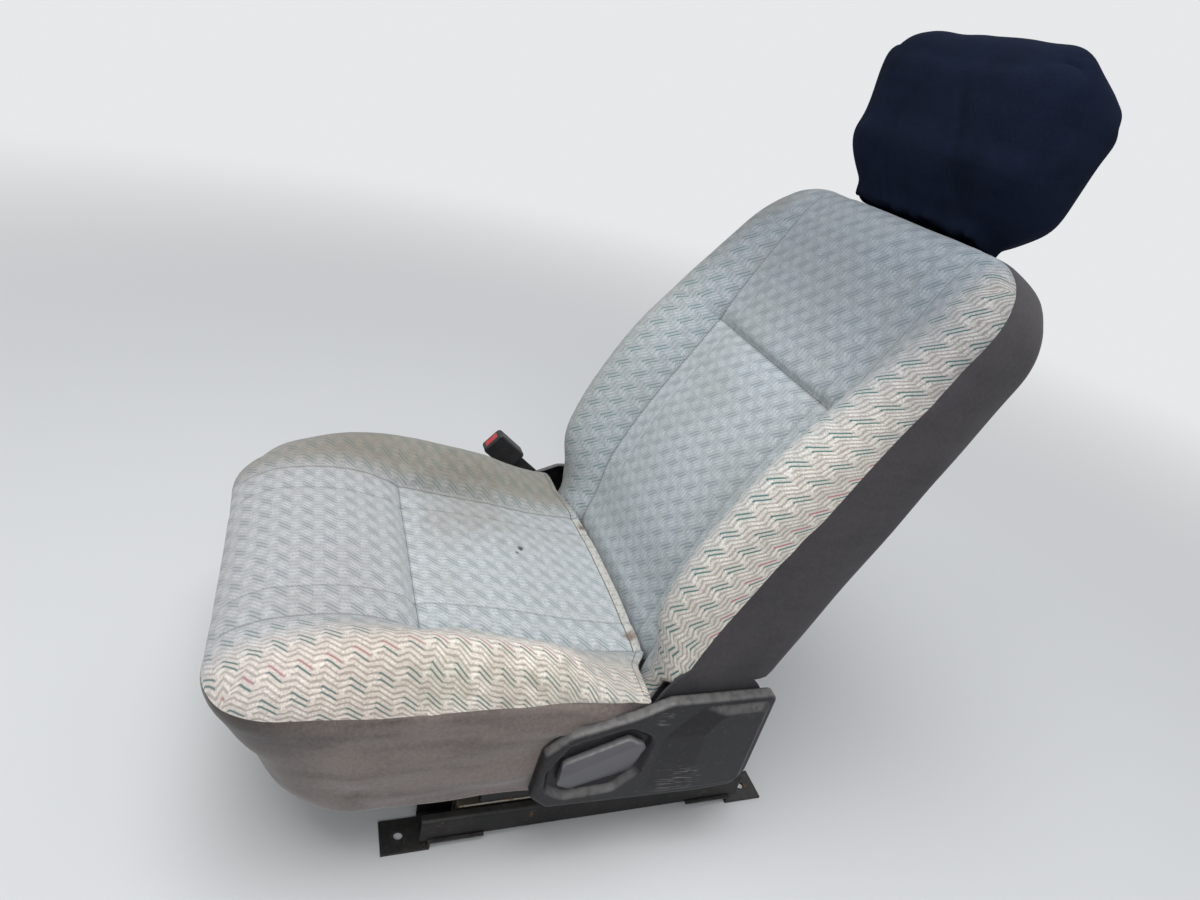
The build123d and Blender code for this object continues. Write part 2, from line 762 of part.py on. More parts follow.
# Headrest: two posts in two plastic sleeves, and the pad
for side_name, side in sides:
    with BuildPart() as sleeve:
        with BuildSketch(back_cross.offset(back_height)):
            with Locations((side * post_spacing / 2, -post_set_back)):
                Circle(sleeve_flange / 2)
        extrude(amount=sleeve_flange_height)
        with BuildSketch(back_cross.offset(back_height)):
            with Locations((side * post_spacing / 2, -post_set_back)):
                Circle(sleeve_diameter / 2)
        extrude(amount=-sleeve_length)
        with BuildSketch(back_cross.offset(back_height - sleeve_length)):
            with Locations((side * post_spacing / 2, -post_set_back)):
                Circle(post_diameter / 2 + sleeve_clearance)
        extrude(amount=sleeve_length + sleeve_flange_height, mode=Mode.SUBTRACT)
    save(sleeve.part, "headrest_sleeve_" + side_name)

    with BuildPart() as post:
        with BuildSketch(back_cross.offset(back_height - post_depth)):
            with Locations((side * post_spacing / 2, -post_set_back)):
                Circle(post_diameter / 2)
        extrude(amount=post_depth + post_in_pad)
        chamfer(post.edges().group_by(Axis.Z)[0], post_tip)
    save(post.part, "headrest_post_" + side_name)

pad_foot = back_height + sleeve_flange_height + moving_gap
pad_tilt = radians(recline - headrest_lean)
with BuildPart() as headrest:
    with BuildSketch(back_side) as side_view:
        with BuildLine():
            Polyline(
                (pad_foot, post_set_back - headrest_depth / 2),
                (pad_foot, post_set_back + headrest_depth / 2),
                (
                    pad_foot + headrest_height * cos(pad_tilt),
                    post_set_back + headrest_depth / 2 + headrest_height * sin(pad_tilt),
                ),
                (
                    pad_foot + headrest_height * cos(pad_tilt),
                    post_set_back - headrest_depth / 2 + headrest_height * sin(pad_tilt),
                ),
                close=True,
            )
        make_face()
        fillet(side_view.vertices().group_by(Axis.X)[-1], headrest_corner)
    extrude(amount=headrest_half_width, both=True)
    with BuildSketch(back_face.offset(-2 * headrest_depth)) as front_view:
        with BuildLine():
            Polyline(
                (-headrest_foot_half_width, pad_foot),
                (headrest_foot_half_width, pad_foot),
                (headrest_half_width, pad_foot + headrest_height * headrest_waist),
                (headrest_half_width, pad_foot + headrest_height),
                (-headrest_half_width, pad_foot + headrest_height),
                (-headrest_half_width, pad_foot + headrest_height * headrest_waist),
                close=True,
            )
        make_face()
        fillet(front_view.vertices().group_by(Axis.Y)[-1], headrest_round)
    extrude(amount=4 * headrest_depth, mode=Mode.INTERSECT)
    with BuildSketch(back_cross.offset(back_height)):
        with Locations((-post_spacing / 2, -post_set_back), (post_spacing / 2, -post_set_back)):
            Circle(post_diameter / 2 + soft_gap)
    extrude(amount=post_in_pad + soft_gap, mode=Mode.SUBTRACT)
save(headrest.part, "headrest_pad")
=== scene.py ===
# %% [markdown]
# # A van driver's seat
# The CAD frame holds the rails, the steel, the recliner and the buckle at their true places.
# This lesson dresses it: woven and plain cloth, moulded plastic, worn paint, and three soft
# pieces that are shaped from one sliced block each and then puffed up as real cloth.

# %% Load the frame
import json
from math import atan2, cos, exp, hypot, pi, radians, sin, sqrt

import bmesh
import bpy
from mathutils import Matrix, Vector, noise
from mathutils.bvhtree import BVHTree


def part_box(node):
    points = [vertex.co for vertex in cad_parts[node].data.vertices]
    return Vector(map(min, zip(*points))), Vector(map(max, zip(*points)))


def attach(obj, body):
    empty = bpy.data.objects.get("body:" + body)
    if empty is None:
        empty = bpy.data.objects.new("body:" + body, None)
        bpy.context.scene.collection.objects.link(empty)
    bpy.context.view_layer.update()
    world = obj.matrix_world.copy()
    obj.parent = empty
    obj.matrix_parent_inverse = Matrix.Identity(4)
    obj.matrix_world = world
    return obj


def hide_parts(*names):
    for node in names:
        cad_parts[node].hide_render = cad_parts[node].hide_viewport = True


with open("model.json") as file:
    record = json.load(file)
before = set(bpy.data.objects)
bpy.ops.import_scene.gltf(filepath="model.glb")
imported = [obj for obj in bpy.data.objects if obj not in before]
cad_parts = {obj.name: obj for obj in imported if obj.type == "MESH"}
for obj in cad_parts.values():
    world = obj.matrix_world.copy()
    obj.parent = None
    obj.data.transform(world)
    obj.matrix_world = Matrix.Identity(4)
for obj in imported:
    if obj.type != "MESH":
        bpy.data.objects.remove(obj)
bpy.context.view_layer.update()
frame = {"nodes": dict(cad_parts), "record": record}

# %% [markdown]
# ## Camera
# The eye stands at the open door, high and close, as a person looks in. A lens of about 22 mm takes
# in the seat from rails to headrest. The camera is turned about its own axis by a few degrees,
# because whoever looks into a cab tips their head. Its axes are worked out from the eye and the target.

# %% Camera at the door
EYE = Vector((0.7727, -0.3631, 0.8734))
TARGET = Vector((0.045, -0.033, 0.462))
HEAD_TIP = radians(14.0)
SENSOR = 36.0
FOCAL_PIXELS = 750.0
PHOTO_WIDTH = 1200.0

camera_data = bpy.data.cameras.new("camera")
camera_data.sensor_width = SENSOR
camera_data.lens = FOCAL_PIXELS / PHOTO_WIDTH * SENSOR
camera = bpy.data.objects.new("camera", camera_data)
bpy.context.scene.collection.objects.link(camera)
look = (TARGET - EYE).normalized()
level = look.cross(Vector((0, 0, 1))).normalized()
rise = level.cross(look)
right = cos(HEAD_TIP) * level + sin(HEAD_TIP) * rise
above = cos(HEAD_TIP) * rise - sin(HEAD_TIP) * level
camera.matrix_world = Matrix.Translation(EYE) @ Matrix((right, above, -look)).transposed().to_4x4()
bpy.context.scene.camera = camera
print("lens", round(camera_data.lens, 1), "mm")

# %% [markdown]
# ## Light and floor
# Soft daylight from above and from the open door: large area lamps and a pale world. The world shows
# its pale colour to the camera only, and lights and mirrors in the object more gently.

# %% Lamps
LAMPS = (
    # name, place, size, power
    ("sky_lamp", (0.4, -0.5, 3.2), 2.2, 84.0),
    ("door_lamp", (2.4, -0.6, 2.0), 1.2, 22.0),
    ("rear_lamp", (-1.8, 1.6, 2.2), 2.0, 8.0),
)
for lamp_name, place, size, power in LAMPS:
    lamp_data = bpy.data.lights.new(lamp_name, "AREA")
    lamp_data.size = size
    lamp_data.energy = power
    lamp = bpy.data.objects.new(lamp_name, lamp_data)
    lamp.location = place
    lamp.rotation_euler = (Vector((0, 0, 0.4)) - Vector(place)).to_track_quat("-Z", "Y").to_euler()
    bpy.context.scene.collection.objects.link(lamp)
print("lamps", len(LAMPS))

# %% World
bpy.context.scene.view_settings.view_transform = "Standard"
world = bpy.data.worlds.new("studio")
bpy.context.scene.world = world
world.use_nodes = True
world_nodes = world.node_tree.nodes
ambient = world_nodes["Background"]
ambient.inputs["Color"].default_value = (0.93, 0.97, 1.0, 1)
ambient.inputs["Strength"].default_value = 0.36
pale = world_nodes.new("ShaderNodeBackground")
pale.inputs["Color"].default_value = (0.80, 0.81, 0.82, 1)
path = world_nodes.new("ShaderNodeLightPath")
either = world_nodes.new("ShaderNodeMixShader")
world.node_tree.links.new(path.outputs["Is Camera Ray"], either.inputs["Fac"])
world.node_tree.links.new(ambient.outputs[0], either.inputs[1])
world.node_tree.links.new(pale.outputs[0], either.inputs[2])
world.node_tree.links.new(either.outputs[0], world_nodes["World Output"].inputs["Surface"])
print("ambient strength", round(ambient.inputs["Strength"].default_value, 2))

# %% Floor
FLOOR_HALF = 14.0
FLOOR_FADE = (0.9, 4.0)
floor_mesh = bmesh.new()
bmesh.ops.create_grid(floor_mesh, x_segments=1, y_segments=1, size=FLOOR_HALF)
floor_data = bpy.data.meshes.new("floor")
floor_mesh.to_mesh(floor_data)
floor_mesh.free()
studio_floor = bpy.data.objects.new("floor", floor_data)
bpy.context.scene.collection.objects.link(studio_floor)
floor_finish = bpy.data.materials.new("pale_floor")
floor_finish.use_nodes = True
floor_tree = floor_finish.node_tree
floor_shader = floor_tree.nodes["Principled BSDF"]
floor_shader.inputs["Base Color"].default_value = (0.62, 0.63, 0.64, 1)
floor_shader.inputs["Roughness"].default_value = 0.9
floor_glow = floor_tree.nodes.new("ShaderNodeEmission")
floor_glow.inputs["Color"].default_value = (0.80, 0.81, 0.82, 1)
floor_place = floor_tree.nodes.new("ShaderNodeTexCoord")
floor_reach = floor_tree.nodes.new("ShaderNodeVectorMath")
floor_reach.operation = "LENGTH"
floor_far = floor_tree.nodes.new("ShaderNodeMapRange")
floor_far.interpolation_type = "SMOOTHSTEP"
floor_far.inputs["From Min"].default_value, floor_far.inputs["From Max"].default_value = FLOOR_FADE
floor_mix = floor_tree.nodes.new("ShaderNodeMixShader")
floor_tree.links.new(floor_place.outputs["Object"], floor_reach.inputs[0])
floor_tree.links.new(floor_reach.outputs["Value"], floor_far.inputs["Value"])
floor_tree.links.new(floor_far.outputs["Result"], floor_mix.inputs["Fac"])
floor_tree.links.new(floor_shader.outputs[0], floor_mix.inputs[1])
floor_tree.links.new(floor_glow.outputs[0], floor_mix.inputs[2])
floor_tree.links.new(floor_mix.outputs[0], floor_tree.nodes["Material Output"].inputs["Surface"])
floor_data.materials.append(floor_finish)
print("floor", 2 * FLOOR_HALF, "m square")

# %% [markdown]
# ## Little tools for shader graphs
# Every finish here is a graph of small nodes. A few helpers keep the graphs short: they place a node and
# fill its inputs, do arithmetic, make clouds of noise, cut soft windows and mix two colours by a mask.

# %% Graph helpers
def place_node(tree, kind, settings=None, **inputs):
    """Add a node, set its properties, and fill inputs by name with numbers or with sockets."""
    made = tree.nodes.new(kind)
    for key, value in (settings or {}).items():
        setattr(made, key, value)
    for key, value in inputs.items():
        socket = made.inputs[key.replace("_", " ")]
        if isinstance(value, bpy.types.NodeSocket):
            tree.links.new(value, socket)
        else:
            socket.default_value = value
    return made


def calc(tree, operation, *values):
    """One Math node; each value is a number or a socket."""
    made = tree.nodes.new("ShaderNodeMath")
    made.operation = operation
    for number, value in enumerate(values):
        if isinstance(value, bpy.types.NodeSocket):
            tree.links.new(value, made.inputs[number])
        else:
            made.inputs[number].default_value = value
    return made.outputs[0]


def cloud(tree, vector, scale, detail, roughness=0.5):
    """Noise from 0 to 1, with scale spots to the metre."""
    made = place_node(tree, "ShaderNodeTexNoise", Vector=vector, Scale=scale, Detail=detail,
                      Roughness=roughness)
    return made.outputs["Fac"]


def fade(tree, value, low, high, start=0.0, end=1.0):
    """A smooth step of value from low to high."""
    made = place_node(tree, "ShaderNodeMapRange", {"interpolation_type": "SMOOTHSTEP"}, Value=value)
    made.inputs["From Min"].default_value = low
    made.inputs["From Max"].default_value = high
    made.inputs["To Min"].default_value = start
    made.inputs["To Max"].default_value = end
    return made.outputs["Result"]


def blend_colour(tree, mask, first, second, mode="MIX"):
    """Mix two colours; mask, first and second are values or sockets."""
    made = tree.nodes.new("ShaderNodeMix")
    made.data_type = "RGBA"
    made.blend_type = mode
    for socket, value in ((made.inputs[0], mask), (made.inputs[6], first), (made.inputs[7], second)):
        if isinstance(value, bpy.types.NodeSocket):
            tree.links.new(value, socket)
        else:
            socket.default_value = value
    return made.outputs[2]


def window(tree, value, low, high, soft):
    """A mask that is 1 between low and high, with soft ends."""
    return calc(tree, "MULTIPLY", fade(tree, value, low - soft, low + soft),
                fade(tree, value, high - soft, high + soft, 1.0, 0.0))


print("graph helpers ready")


# %% Group and colour helpers
def new_group(name, inputs, outputs):
    """A shader group with named sockets: inputs are (kind, name, default), outputs (kind, name)."""
    tree = bpy.data.node_groups.new(name, "ShaderNodeTree")
    for kind, label, default in inputs:
        socket = tree.interface.new_socket(label, in_out="INPUT", socket_type="NodeSocket" + kind)
        if default is not None:
            socket.default_value = default
    for kind, label in outputs:
        tree.interface.new_socket(label, in_out="OUTPUT", socket_type="NodeSocket" + kind)
    return tree, tree.nodes.new("NodeGroupInput"), tree.nodes.new("NodeGroupOutput")


def srgb(red, green, blue):
    """A colour as seen on a screen, 0 to 255, as the linear colour that a shader takes."""
    shown = (red, green, blue)
    return tuple(((c / 255 + 0.055) / 1.055) ** 2.4 if c > 10 else c / 3295 for c in shown) + (1,)


print("mid grey", round(srgb(128, 128, 128)[0], 3))

# %% [markdown]
# ## The seat's woven cloth
# The cloth repeats about every 29 mm across and 26 mm along. Five lines a repeat run along the
# cloth, step sideways on a slant, and run on: a stepped meander. Two of the five are bold on the
# slant: teal and grey, and rose in one column near the door-side edge. Round light floats sit in a
# brick order between the bold marks. All of this is arithmetic on the cloth's own UV, in metres.

# %% Weave sizes
REPEAT_ACROSS = 0.0295
REPEAT_ALONG = 0.0257
LINES = 5.0
LINES_STEPPED = 2.0
SLANT_START = 0.46
TWILL_ACROSS = 9.0
TWILL_ALONG = 8.0
CORDS = 8.0
print("repeat", REPEAT_ACROSS, "by", REPEAT_ALONG, "m")


# %% Weave lines
def off_centre(tree, value, centre, period, reach):
    """Distance of value from a centre that repeats, as a share of reach."""
    moved = calc(tree, "FLOORED_MODULO", calc(tree, "ADD", value, period / 2 - centre), period)
    return calc(tree, "DIVIDE", calc(tree, "SUBTRACT", moved, period / 2), reach)


weave, given, made = new_group(
    "seat_weave",
    [("Vector", "UV", None), ("Color", "Ground", srgb(178, 182, 182)),
     ("Color", "Float", srgb(214, 218, 219)), ("Color", "Line", srgb(104, 108, 110)),
     ("Float", "Contrast", 0.5), ("Float", "Rose From", 0.2),
     ("Float", "Rose", 1.0), ("Float", "Vivid", 1.0)],
    [("Color", "Colour"), ("Float", "Height")],
)
wobble = cloud(weave, given.outputs["UV"], 90.0, 3.0)
yarns = cloud(weave, given.outputs["UV"], 520.0, 3.0, 0.7)
tufts = cloud(weave, given.outputs["UV"], 230.0, 2.0)
place = place_node(weave, "ShaderNodeSeparateXYZ", Vector=given.outputs["UV"])
drift = calc(weave, "MULTIPLY_ADD", wobble, 0.20, -0.10)
across = calc(weave, "ADD", calc(weave, "DIVIDE", place.outputs["X"], REPEAT_ACROSS), drift)
along = calc(weave, "ADD", calc(weave, "DIVIDE", place.outputs["Y"], REPEAT_ALONG), drift)
along_cell = calc(weave, "FRACT", along)
slant = place_node(weave, "ShaderNodeMapRange", Value=along_cell)
slant.inputs["From Min"].default_value = SLANT_START
phase = calc(weave, "MULTIPLY_ADD", slant.outputs["Result"], -LINES_STEPPED,
             calc(weave, "MULTIPLY", across, LINES))
in_cell = calc(weave, "FLOORED_MODULO", phase, LINES)
near_line = calc(weave, "ABSOLUTE", calc(weave, "SUBTRACT", calc(weave, "FRACT", phase), 0.5))
line = fade(weave, near_line, 0.08, 0.34, 1.0, 0.0)
broken = calc(weave, "MULTIPLY", window(weave, in_cell, 3.2, 4.4, 0.1),
              window(weave, along_cell, 0.08, 0.24, 0.03))
line = calc(weave, "MULTIPLY", line, calc(weave, "SUBTRACT", 1.0, broken))
thin = fade(weave, near_line, 0.09, 0.23, 1.0, 0.0)
on_slant = window(weave, along_cell, SLANT_START - 0.08, 0.99, 0.03)
bold = calc(weave, "MULTIPLY", on_slant, window(weave, in_cell, 1.0, 3.0, 0.05))
print("line nodes", len(weave.nodes))

# %% Round floats and yarns
# Two round floats in each repeat, half a repeat apart
masks = []
leaning = calc(weave, "MULTIPLY_ADD", along_cell, -0.12, across)
for across_centre, along_centre in ((0.47, 0.23), (0.96, 0.73)):
    sideways = off_centre(weave, leaning, across_centre, 1.0, 0.30)
    lengthways = off_centre(weave, along_cell, along_centre, 1.0, 0.29)
    radius = calc(weave, "SQRT", calc(weave, "ADD", calc(weave, "MULTIPLY", sideways, sideways),
                                      calc(weave, "MULTIPLY", lengthways, lengthways)))
    radius = calc(weave, "ADD", radius, calc(weave, "MULTIPLY_ADD", tufts, 1.3, -0.65))
    masks.append(fade(weave, radius, 0.50, 1.10, 1.0, 0.0))
floats = calc(weave, "MAXIMUM", masks[0], masks[1])

# Yarns: a fine twill, cords along the floats, and the yarns' own unevenness
twill_turn = calc(weave, "ADD", calc(weave, "MULTIPLY", across, TWILL_ACROSS),
                  calc(weave, "MULTIPLY", along, TWILL_ALONG))
twill = calc(weave, "SINE", calc(weave, "MULTIPLY", twill_turn, 2 * pi))
cords = calc(weave, "MULTIPLY", calc(weave, "SINE", calc(weave, "MULTIPLY", across, CORDS * 2 * pi)), floats)
fibre = calc(weave, "ADD", calc(weave, "MULTIPLY_ADD", twill, 0.22, 0.5),
             calc(weave, "MULTIPLY", cords, 0.15))
fibre = calc(weave, "ADD", fibre, calc(weave, "MULTIPLY_ADD", yarns, 6.0, -3.0))
print("float and yarn nodes", len(weave.nodes))

# %% Weave colours
ground = blend_colour(weave, floats, given.outputs["Ground"], given.outputs["Float"])
ground = blend_colour(weave, calc(weave, "MULTIPLY", fibre, 0.33), ground, given.outputs["Line"])
ground = blend_colour(weave, calc(weave, "MULTIPLY", line, given.outputs["Contrast"]), ground,
                      given.outputs["Line"])
door_side = place.outputs["X"]
from_middle = calc(weave, "ABSOLUTE", door_side)
past_rose = calc(weave, "SUBTRACT", door_side, given.outputs["Rose From"])
rose = calc(weave, "MULTIPLY", window(weave, in_cell, 1.0, 2.0, 0.05),
            window(weave, past_rose, 0.0, REPEAT_ACROSS, 0.002))
rose_fades = calc(weave, "MULTIPLY_ADD", rose, calc(weave, "SUBTRACT", given.outputs["Rose"], 1.0), 1.0)
accent = blend_colour(weave, fade(weave, from_middle, 0.11, 0.19), srgb(112, 128, 138), srgb(60, 112, 110))
accent = blend_colour(weave, rose, accent, srgb(182, 88, 110))
vivid = calc(weave, "ADD", fade(weave, door_side, 0.11, 0.20, 0.46, 0.86),
             fade(weave, from_middle, 0.12, 0.20, 0.0, 0.12))
bold_mark = calc(weave, "MULTIPLY", calc(weave, "MULTIPLY", bold, thin),
                 calc(weave, "MULTIPLY", vivid, given.outputs["Vivid"]))
bold_mark = calc(weave, "MULTIPLY", bold_mark, rose_fades)
soft_patch = calc(weave, "MULTIPLY", window(weave, along_cell, SLANT_START + 0.02, 0.96, 0.14),
                  window(weave, in_cell, 1.0, 3.2, 0.7))
patch = calc(weave, "MULTIPLY", soft_patch, fade(weave, from_middle, 0.12, 0.19, 0.20, 0.05))
coloured = blend_colour(weave, patch, ground, accent)
coloured = blend_colour(weave, bold_mark, coloured, accent)
weave.links.new(coloured, made.inputs["Colour"])
raised = calc(weave, "MULTIPLY_ADD", floats, 0.6, calc(weave, "MULTIPLY", fibre, 0.25))
raised = calc(weave, "SUBTRACT", raised, calc(weave, "MULTIPLY", line, 0.35))
weave.links.new(raised, made.inputs["Height"])
print("weave nodes", len(weave.nodes))

# %% [markdown]
# ## Soiling
# Years of use leave broad stains and fine dust. One group gives both as a mask, and each finish
# decides what colour the mask brings in.

# %% Soiling group
soiling, given, made = new_group(
    "soiling",
    [("Vector", "Vector", None), ("Float", "Broad", 7.0), ("Float", "Fine", 160.0)],
    [("Float", "Stain"), ("Float", "Specks")],
)
broad = cloud(soiling, given.outputs["Vector"], given.outputs["Broad"], 5.0, 0.6)
specks = cloud(soiling, given.outputs["Vector"], given.outputs["Fine"], 2.0, 0.7)
soiling.links.new(fade(soiling, broad, 0.42, 0.72), made.inputs["Stain"])
soiling.links.new(fade(soiling, specks, 0.60, 0.72), made.inputs["Specks"])
print("soiling nodes", len(soiling.nodes))


# %% Material helpers
def start_material(name):
    """A new material with its tree, its Principled shader and object coordinates."""
    material = bpy.data.materials.new(name)
    material.use_nodes = True
    tree = material.node_tree
    where = tree.nodes.new("ShaderNodeTexCoord")
    return material, tree, tree.nodes["Principled BSDF"], where


def use_group(tree, group, **inputs):
    """Place a group in a material, with its inputs by name."""
    made = tree.nodes.new("ShaderNodeGroup")
    made.node_tree = group
    for key, value in inputs.items():
        if isinstance(value, bpy.types.NodeSocket):
            tree.links.new(value, made.inputs[key])
        else:
            made.inputs[key].default_value = value
    return made


print("groups", [group.name for group in (weave, soiling)])

# %% [markdown]
# ## Cloth finishes
# The woven cloth is blue-grey in the middle panels, creamier on the door-side bolsters and greyer on the
# far ones: partly the cloth's own tone, and partly painted light, lighter on the door side and darker on
# the far side. A vertex attribute, bolster, says how far out a point is, and the lines show more there.
# The skirts and the back's sides are a plain brushed knit, and the headrest wears a navy slip cover.

# %% Strip and stains
def pale_strip(tree, uv, across, colour):
    """The puckered pale strip that edges the panel's rear, with a dark line before it."""
    strip = place_node(tree, "ShaderNodeAttribute", {"attribute_name": "strip"}).outputs["Fac"]
    # Painted light and shade of the puckers: bands of pale and darker tone across the strip.
    pucker = cloud(tree, uv, 170.0, 2.0)
    folds = calc(tree, "SINE",
                 calc(tree, "MULTIPLY_ADD", pucker, 16.0, calc(tree, "MULTIPLY", across, 380.0)))
    pale = blend_colour(tree, fade(tree, folds, 0.2, 1.0, 0.0, 0.55), srgb(190, 189, 184),
                        srgb(140, 135, 128))
    on_panel = fade(tree, calc(tree, "ABSOLUTE", across), 0.143, 0.145, 1.0, 0.0)
    colour = blend_colour(tree, calc(tree, "MULTIPLY", fade(tree, strip, 0.45, 0.70), on_panel), colour, pale)
    return blend_colour(tree, window(tree, strip, 0.30, 0.60, 0.12), colour, srgb(66, 62, 58))


def stained(tree, point, colour, spots):
    """Ragged marks; each spot is (centre, radius, strength, tone)."""
    spread = cloud(tree, point, 60.0, 3.0)
    for centre, radius, strength, tone in spots:
        away = place_node(tree, "ShaderNodeVectorMath", {"operation": "DISTANCE"})
        tree.links.new(point, away.inputs[0])
        away.inputs[1].default_value = centre
        ragged = calc(tree, "MULTIPLY_ADD", spread, radius * 2, -radius)
        reach = calc(tree, "ADD", away.outputs["Value"], ragged)
        mark = fade(tree, reach, radius * 0.3, radius, strength, 0.0)
        colour = blend_colour(tree, mark, colour, srgb(*tone))
    return colour


print("cloth helpers ready")


# %% Woven cloth material
def woven_cloth(name, ground_tones, accents, painted_shade_band, stain_spots, stripped=False):
    """Seat cloth.

    accents: where the rose marks start, their strength, and the strength of all marks.
    greying: (from, to, tint) along the cloth, a band of painted shade that darkens it. stain_spots: (centre,
    radius, strength, tone).
    """
    material, tree, shader, where = start_material(name)
    outer = place_node(tree, "ShaderNodeAttribute", {"attribute_name": "bolster"}).outputs["Fac"]
    seam = place_node(tree, "ShaderNodeAttribute", {"attribute_name": "seam"}).outputs["Fac"]
    uv = place_node(tree, "ShaderNodeUVMap", {"uv_map": "cloth"}).outputs["UV"]
    place = place_node(tree, "ShaderNodeSeparateXYZ", Vector=uv)
    # Partly the cloth's own tone, partly painted light: the door-side bolster is painted lighter and the far
    # one darker, as the light from the door falls on them.
    lit_door_side = fade(tree, place.outputs["X"], -0.12, 0.12)
    middle, door, far = ground_tones
    edge = blend_colour(tree, lit_door_side, srgb(*far), srgb(*door))
    edge_light = blend_colour(tree, lit_door_side, srgb(*(c + 8 for c in far)),
                              srgb(*(min(c + 16, 250) for c in door)))
    ground = blend_colour(tree, outer, srgb(*middle), edge)
    light = blend_colour(tree, outer, srgb(*(c + 13 for c in middle)), edge_light)
    dark = blend_colour(tree, outer, srgb(120, 126, 132), srgb(126, 118, 110))
    contrast = calc(tree, "MULTIPLY_ADD", calc(tree, "MULTIPLY", outer, lit_door_side), 0.18,
                    calc(tree, "MULTIPLY_ADD", outer, 0.14, 0.27))
    pattern = use_group(tree, weave, UV=uv, Ground=ground, Float=light, Line=dark, Contrast=contrast)
    for label, value in zip(("Rose From", "Rose", "Vivid"), accents):
        pattern.inputs[label].default_value = value
    colour = pattern.outputs["Colour"]
    # Painted shade: the colour darkens towards the tint from one place along the cloth to the other.
    shade_from, shade_to, grey = painted_shade_band
    colour = blend_colour(tree, fade(tree, place.outputs["Y"], shade_from, shade_to), colour, grey, "MULTIPLY")
    if stripped:
        colour = pale_strip(tree, uv, place.outputs["X"], colour)
    dash = calc(tree, "FRACT",
                calc(tree, "MULTIPLY", calc(tree, "ADD", place.outputs["X"], place.outputs["Y"]), 240.0))
    stitch = calc(tree, "MULTIPLY", window(tree, seam, 0.36, 0.60, 0.05),
                  window(tree, dash, 0.15, 0.75, 0.08))
    colour = blend_colour(tree, calc(tree, "MULTIPLY", fade(tree, seam, 0.62, 0.95), 0.72), colour,
                          srgb(84, 86, 88))
    colour = blend_colour(tree, calc(tree, "MULTIPLY", stitch, 0.5), colour, srgb(108, 110, 114))
    dirt = use_group(tree, soiling, Vector=where.outputs["Object"])
    colour = blend_colour(tree, calc(tree, "MULTIPLY", dirt.outputs["Stain"], 0.22), colour,
                          srgb(140, 135, 124))
    colour = stained(tree, where.outputs["Object"], colour, stain_spots)
    tree.links.new(colour, shader.inputs["Base Color"])
    bump = place_node(tree, "ShaderNodeBump", Height=pattern.outputs["Height"], Strength=0.6, Distance=0.0010)
    tree.links.new(bump.outputs["Normal"], shader.inputs["Normal"])
    shader.inputs["Roughness"].default_value = 0.92
    shader.inputs["Sheen Weight"].default_value = 0.2
    shader.inputs["Sheen Roughness"].default_value = 0.5
    shader.inputs["Specular IOR Level"].default_value = 0.2
    return material


# %% Plain cloth material
def plain_cloth(name, light, dark, grain=900.0, sheen=0.3, gloss=0.15, fold_shading=0.0, shaded=(1, 1, 1, 1)):
    """Brushed knit in two tones, with grain, blotches and level bands of painted fold light and shade; shaded
    is painted shade that tints it at the nose.
    """
    material, tree, shader, where = start_material(name)
    dirt = use_group(tree, soiling, Vector=where.outputs["Object"], Broad=9.0)
    fibre = cloud(tree, where.outputs["Object"], grain, 2.0)
    pile = cloud(tree, where.outputs["Object"], grain / 4, 3.0, 0.7)
    mask = calc(tree, "MULTIPLY_ADD", fibre, 0.4, calc(tree, "MULTIPLY", dirt.outputs["Stain"], 0.4))
    mask = calc(tree, "ADD", mask, calc(tree, "MULTIPLY_ADD", pile, 1.2, -0.5))
    # Painted light and shade of folds: level bands of lighter and darker tone, darker still as the fold
    # amount grows.
    level_bands = place_node(tree, "ShaderNodeMapping", Vector=where.outputs["Object"], Scale=(7, 7, 46))
    folds = cloud(tree, level_bands.outputs["Vector"], 1.0, 3.0)
    mask = calc(tree, "ADD", mask, fade(tree, folds, 0.42, 0.68, -0.10, 0.10 + fold_shading))
    colour = blend_colour(tree, mask, light, dark)
    # Painted shade: the cloth darkens towards the nose by the shaded tint.
    place = place_node(tree, "ShaderNodeSeparateXYZ", Vector=where.outputs["Object"])
    colour = blend_colour(tree, fade(tree, place.outputs["Y"], -0.31, -0.42), colour, shaded, "MULTIPLY")
    tree.links.new(colour, shader.inputs["Base Color"])
    bump = place_node(tree, "ShaderNodeBump", Height=fibre, Strength=0.35, Distance=0.0006)
    tree.links.new(bump.outputs["Normal"], shader.inputs["Normal"])
    shader.inputs["Roughness"].default_value = 0.95
    shader.inputs["Sheen Weight"].default_value = sheen
    shader.inputs["Specular IOR Level"].default_value = gloss
    return material


print("woven and plain cloth ready")

# %% Cloth finishes
BROWN = (104, 92, 66)
OLIVE = (112, 112, 84)
BURNT = (48, 44, 40)
RUST = (96, 64, 40)
GREY = (146, 146, 144)
seat_weave = woven_cloth(
    "seat_weave_cloth",
    ((188, 192, 194), (236, 226, 215), (138, 137, 129)),
    (0.207, 0.62, 0.78),
    # Painted shade on the front roll: darker and less blue towards the nose.
    (-0.232, -0.290, (0.92, 0.89, 0.89, 1)),
    (
        ((0.238, -0.225, 0.300), 0.045, 0.22, OLIVE),
        ((0.240, -0.160, 0.296), 0.048, 0.26, BROWN),
        ((0.240, -0.095, 0.286), 0.040, 0.22, OLIVE),
        ((-0.0315, -0.0795, 0.2575), 0.0062, 0.95, BURNT),
        ((-0.0200, -0.0870, 0.2590), 0.0050, 0.90, BURNT),
        ((-0.128, 0.030, 0.236), 0.008, 0.85, BURNT),
        ((-0.118, 0.040, 0.238), 0.013, 0.85, RUST),
        ((-0.096, 0.043, 0.238), 0.007, 0.90, BURNT),
        ((0.118, 0.038, 0.238), 0.014, 0.75, RUST),
        ((-0.120, -0.150, 0.270), 0.110, 0.22, BROWN),
        ((0.205, -0.010, 0.270), 0.090, 0.45, GREY),
    ),
    True,
)
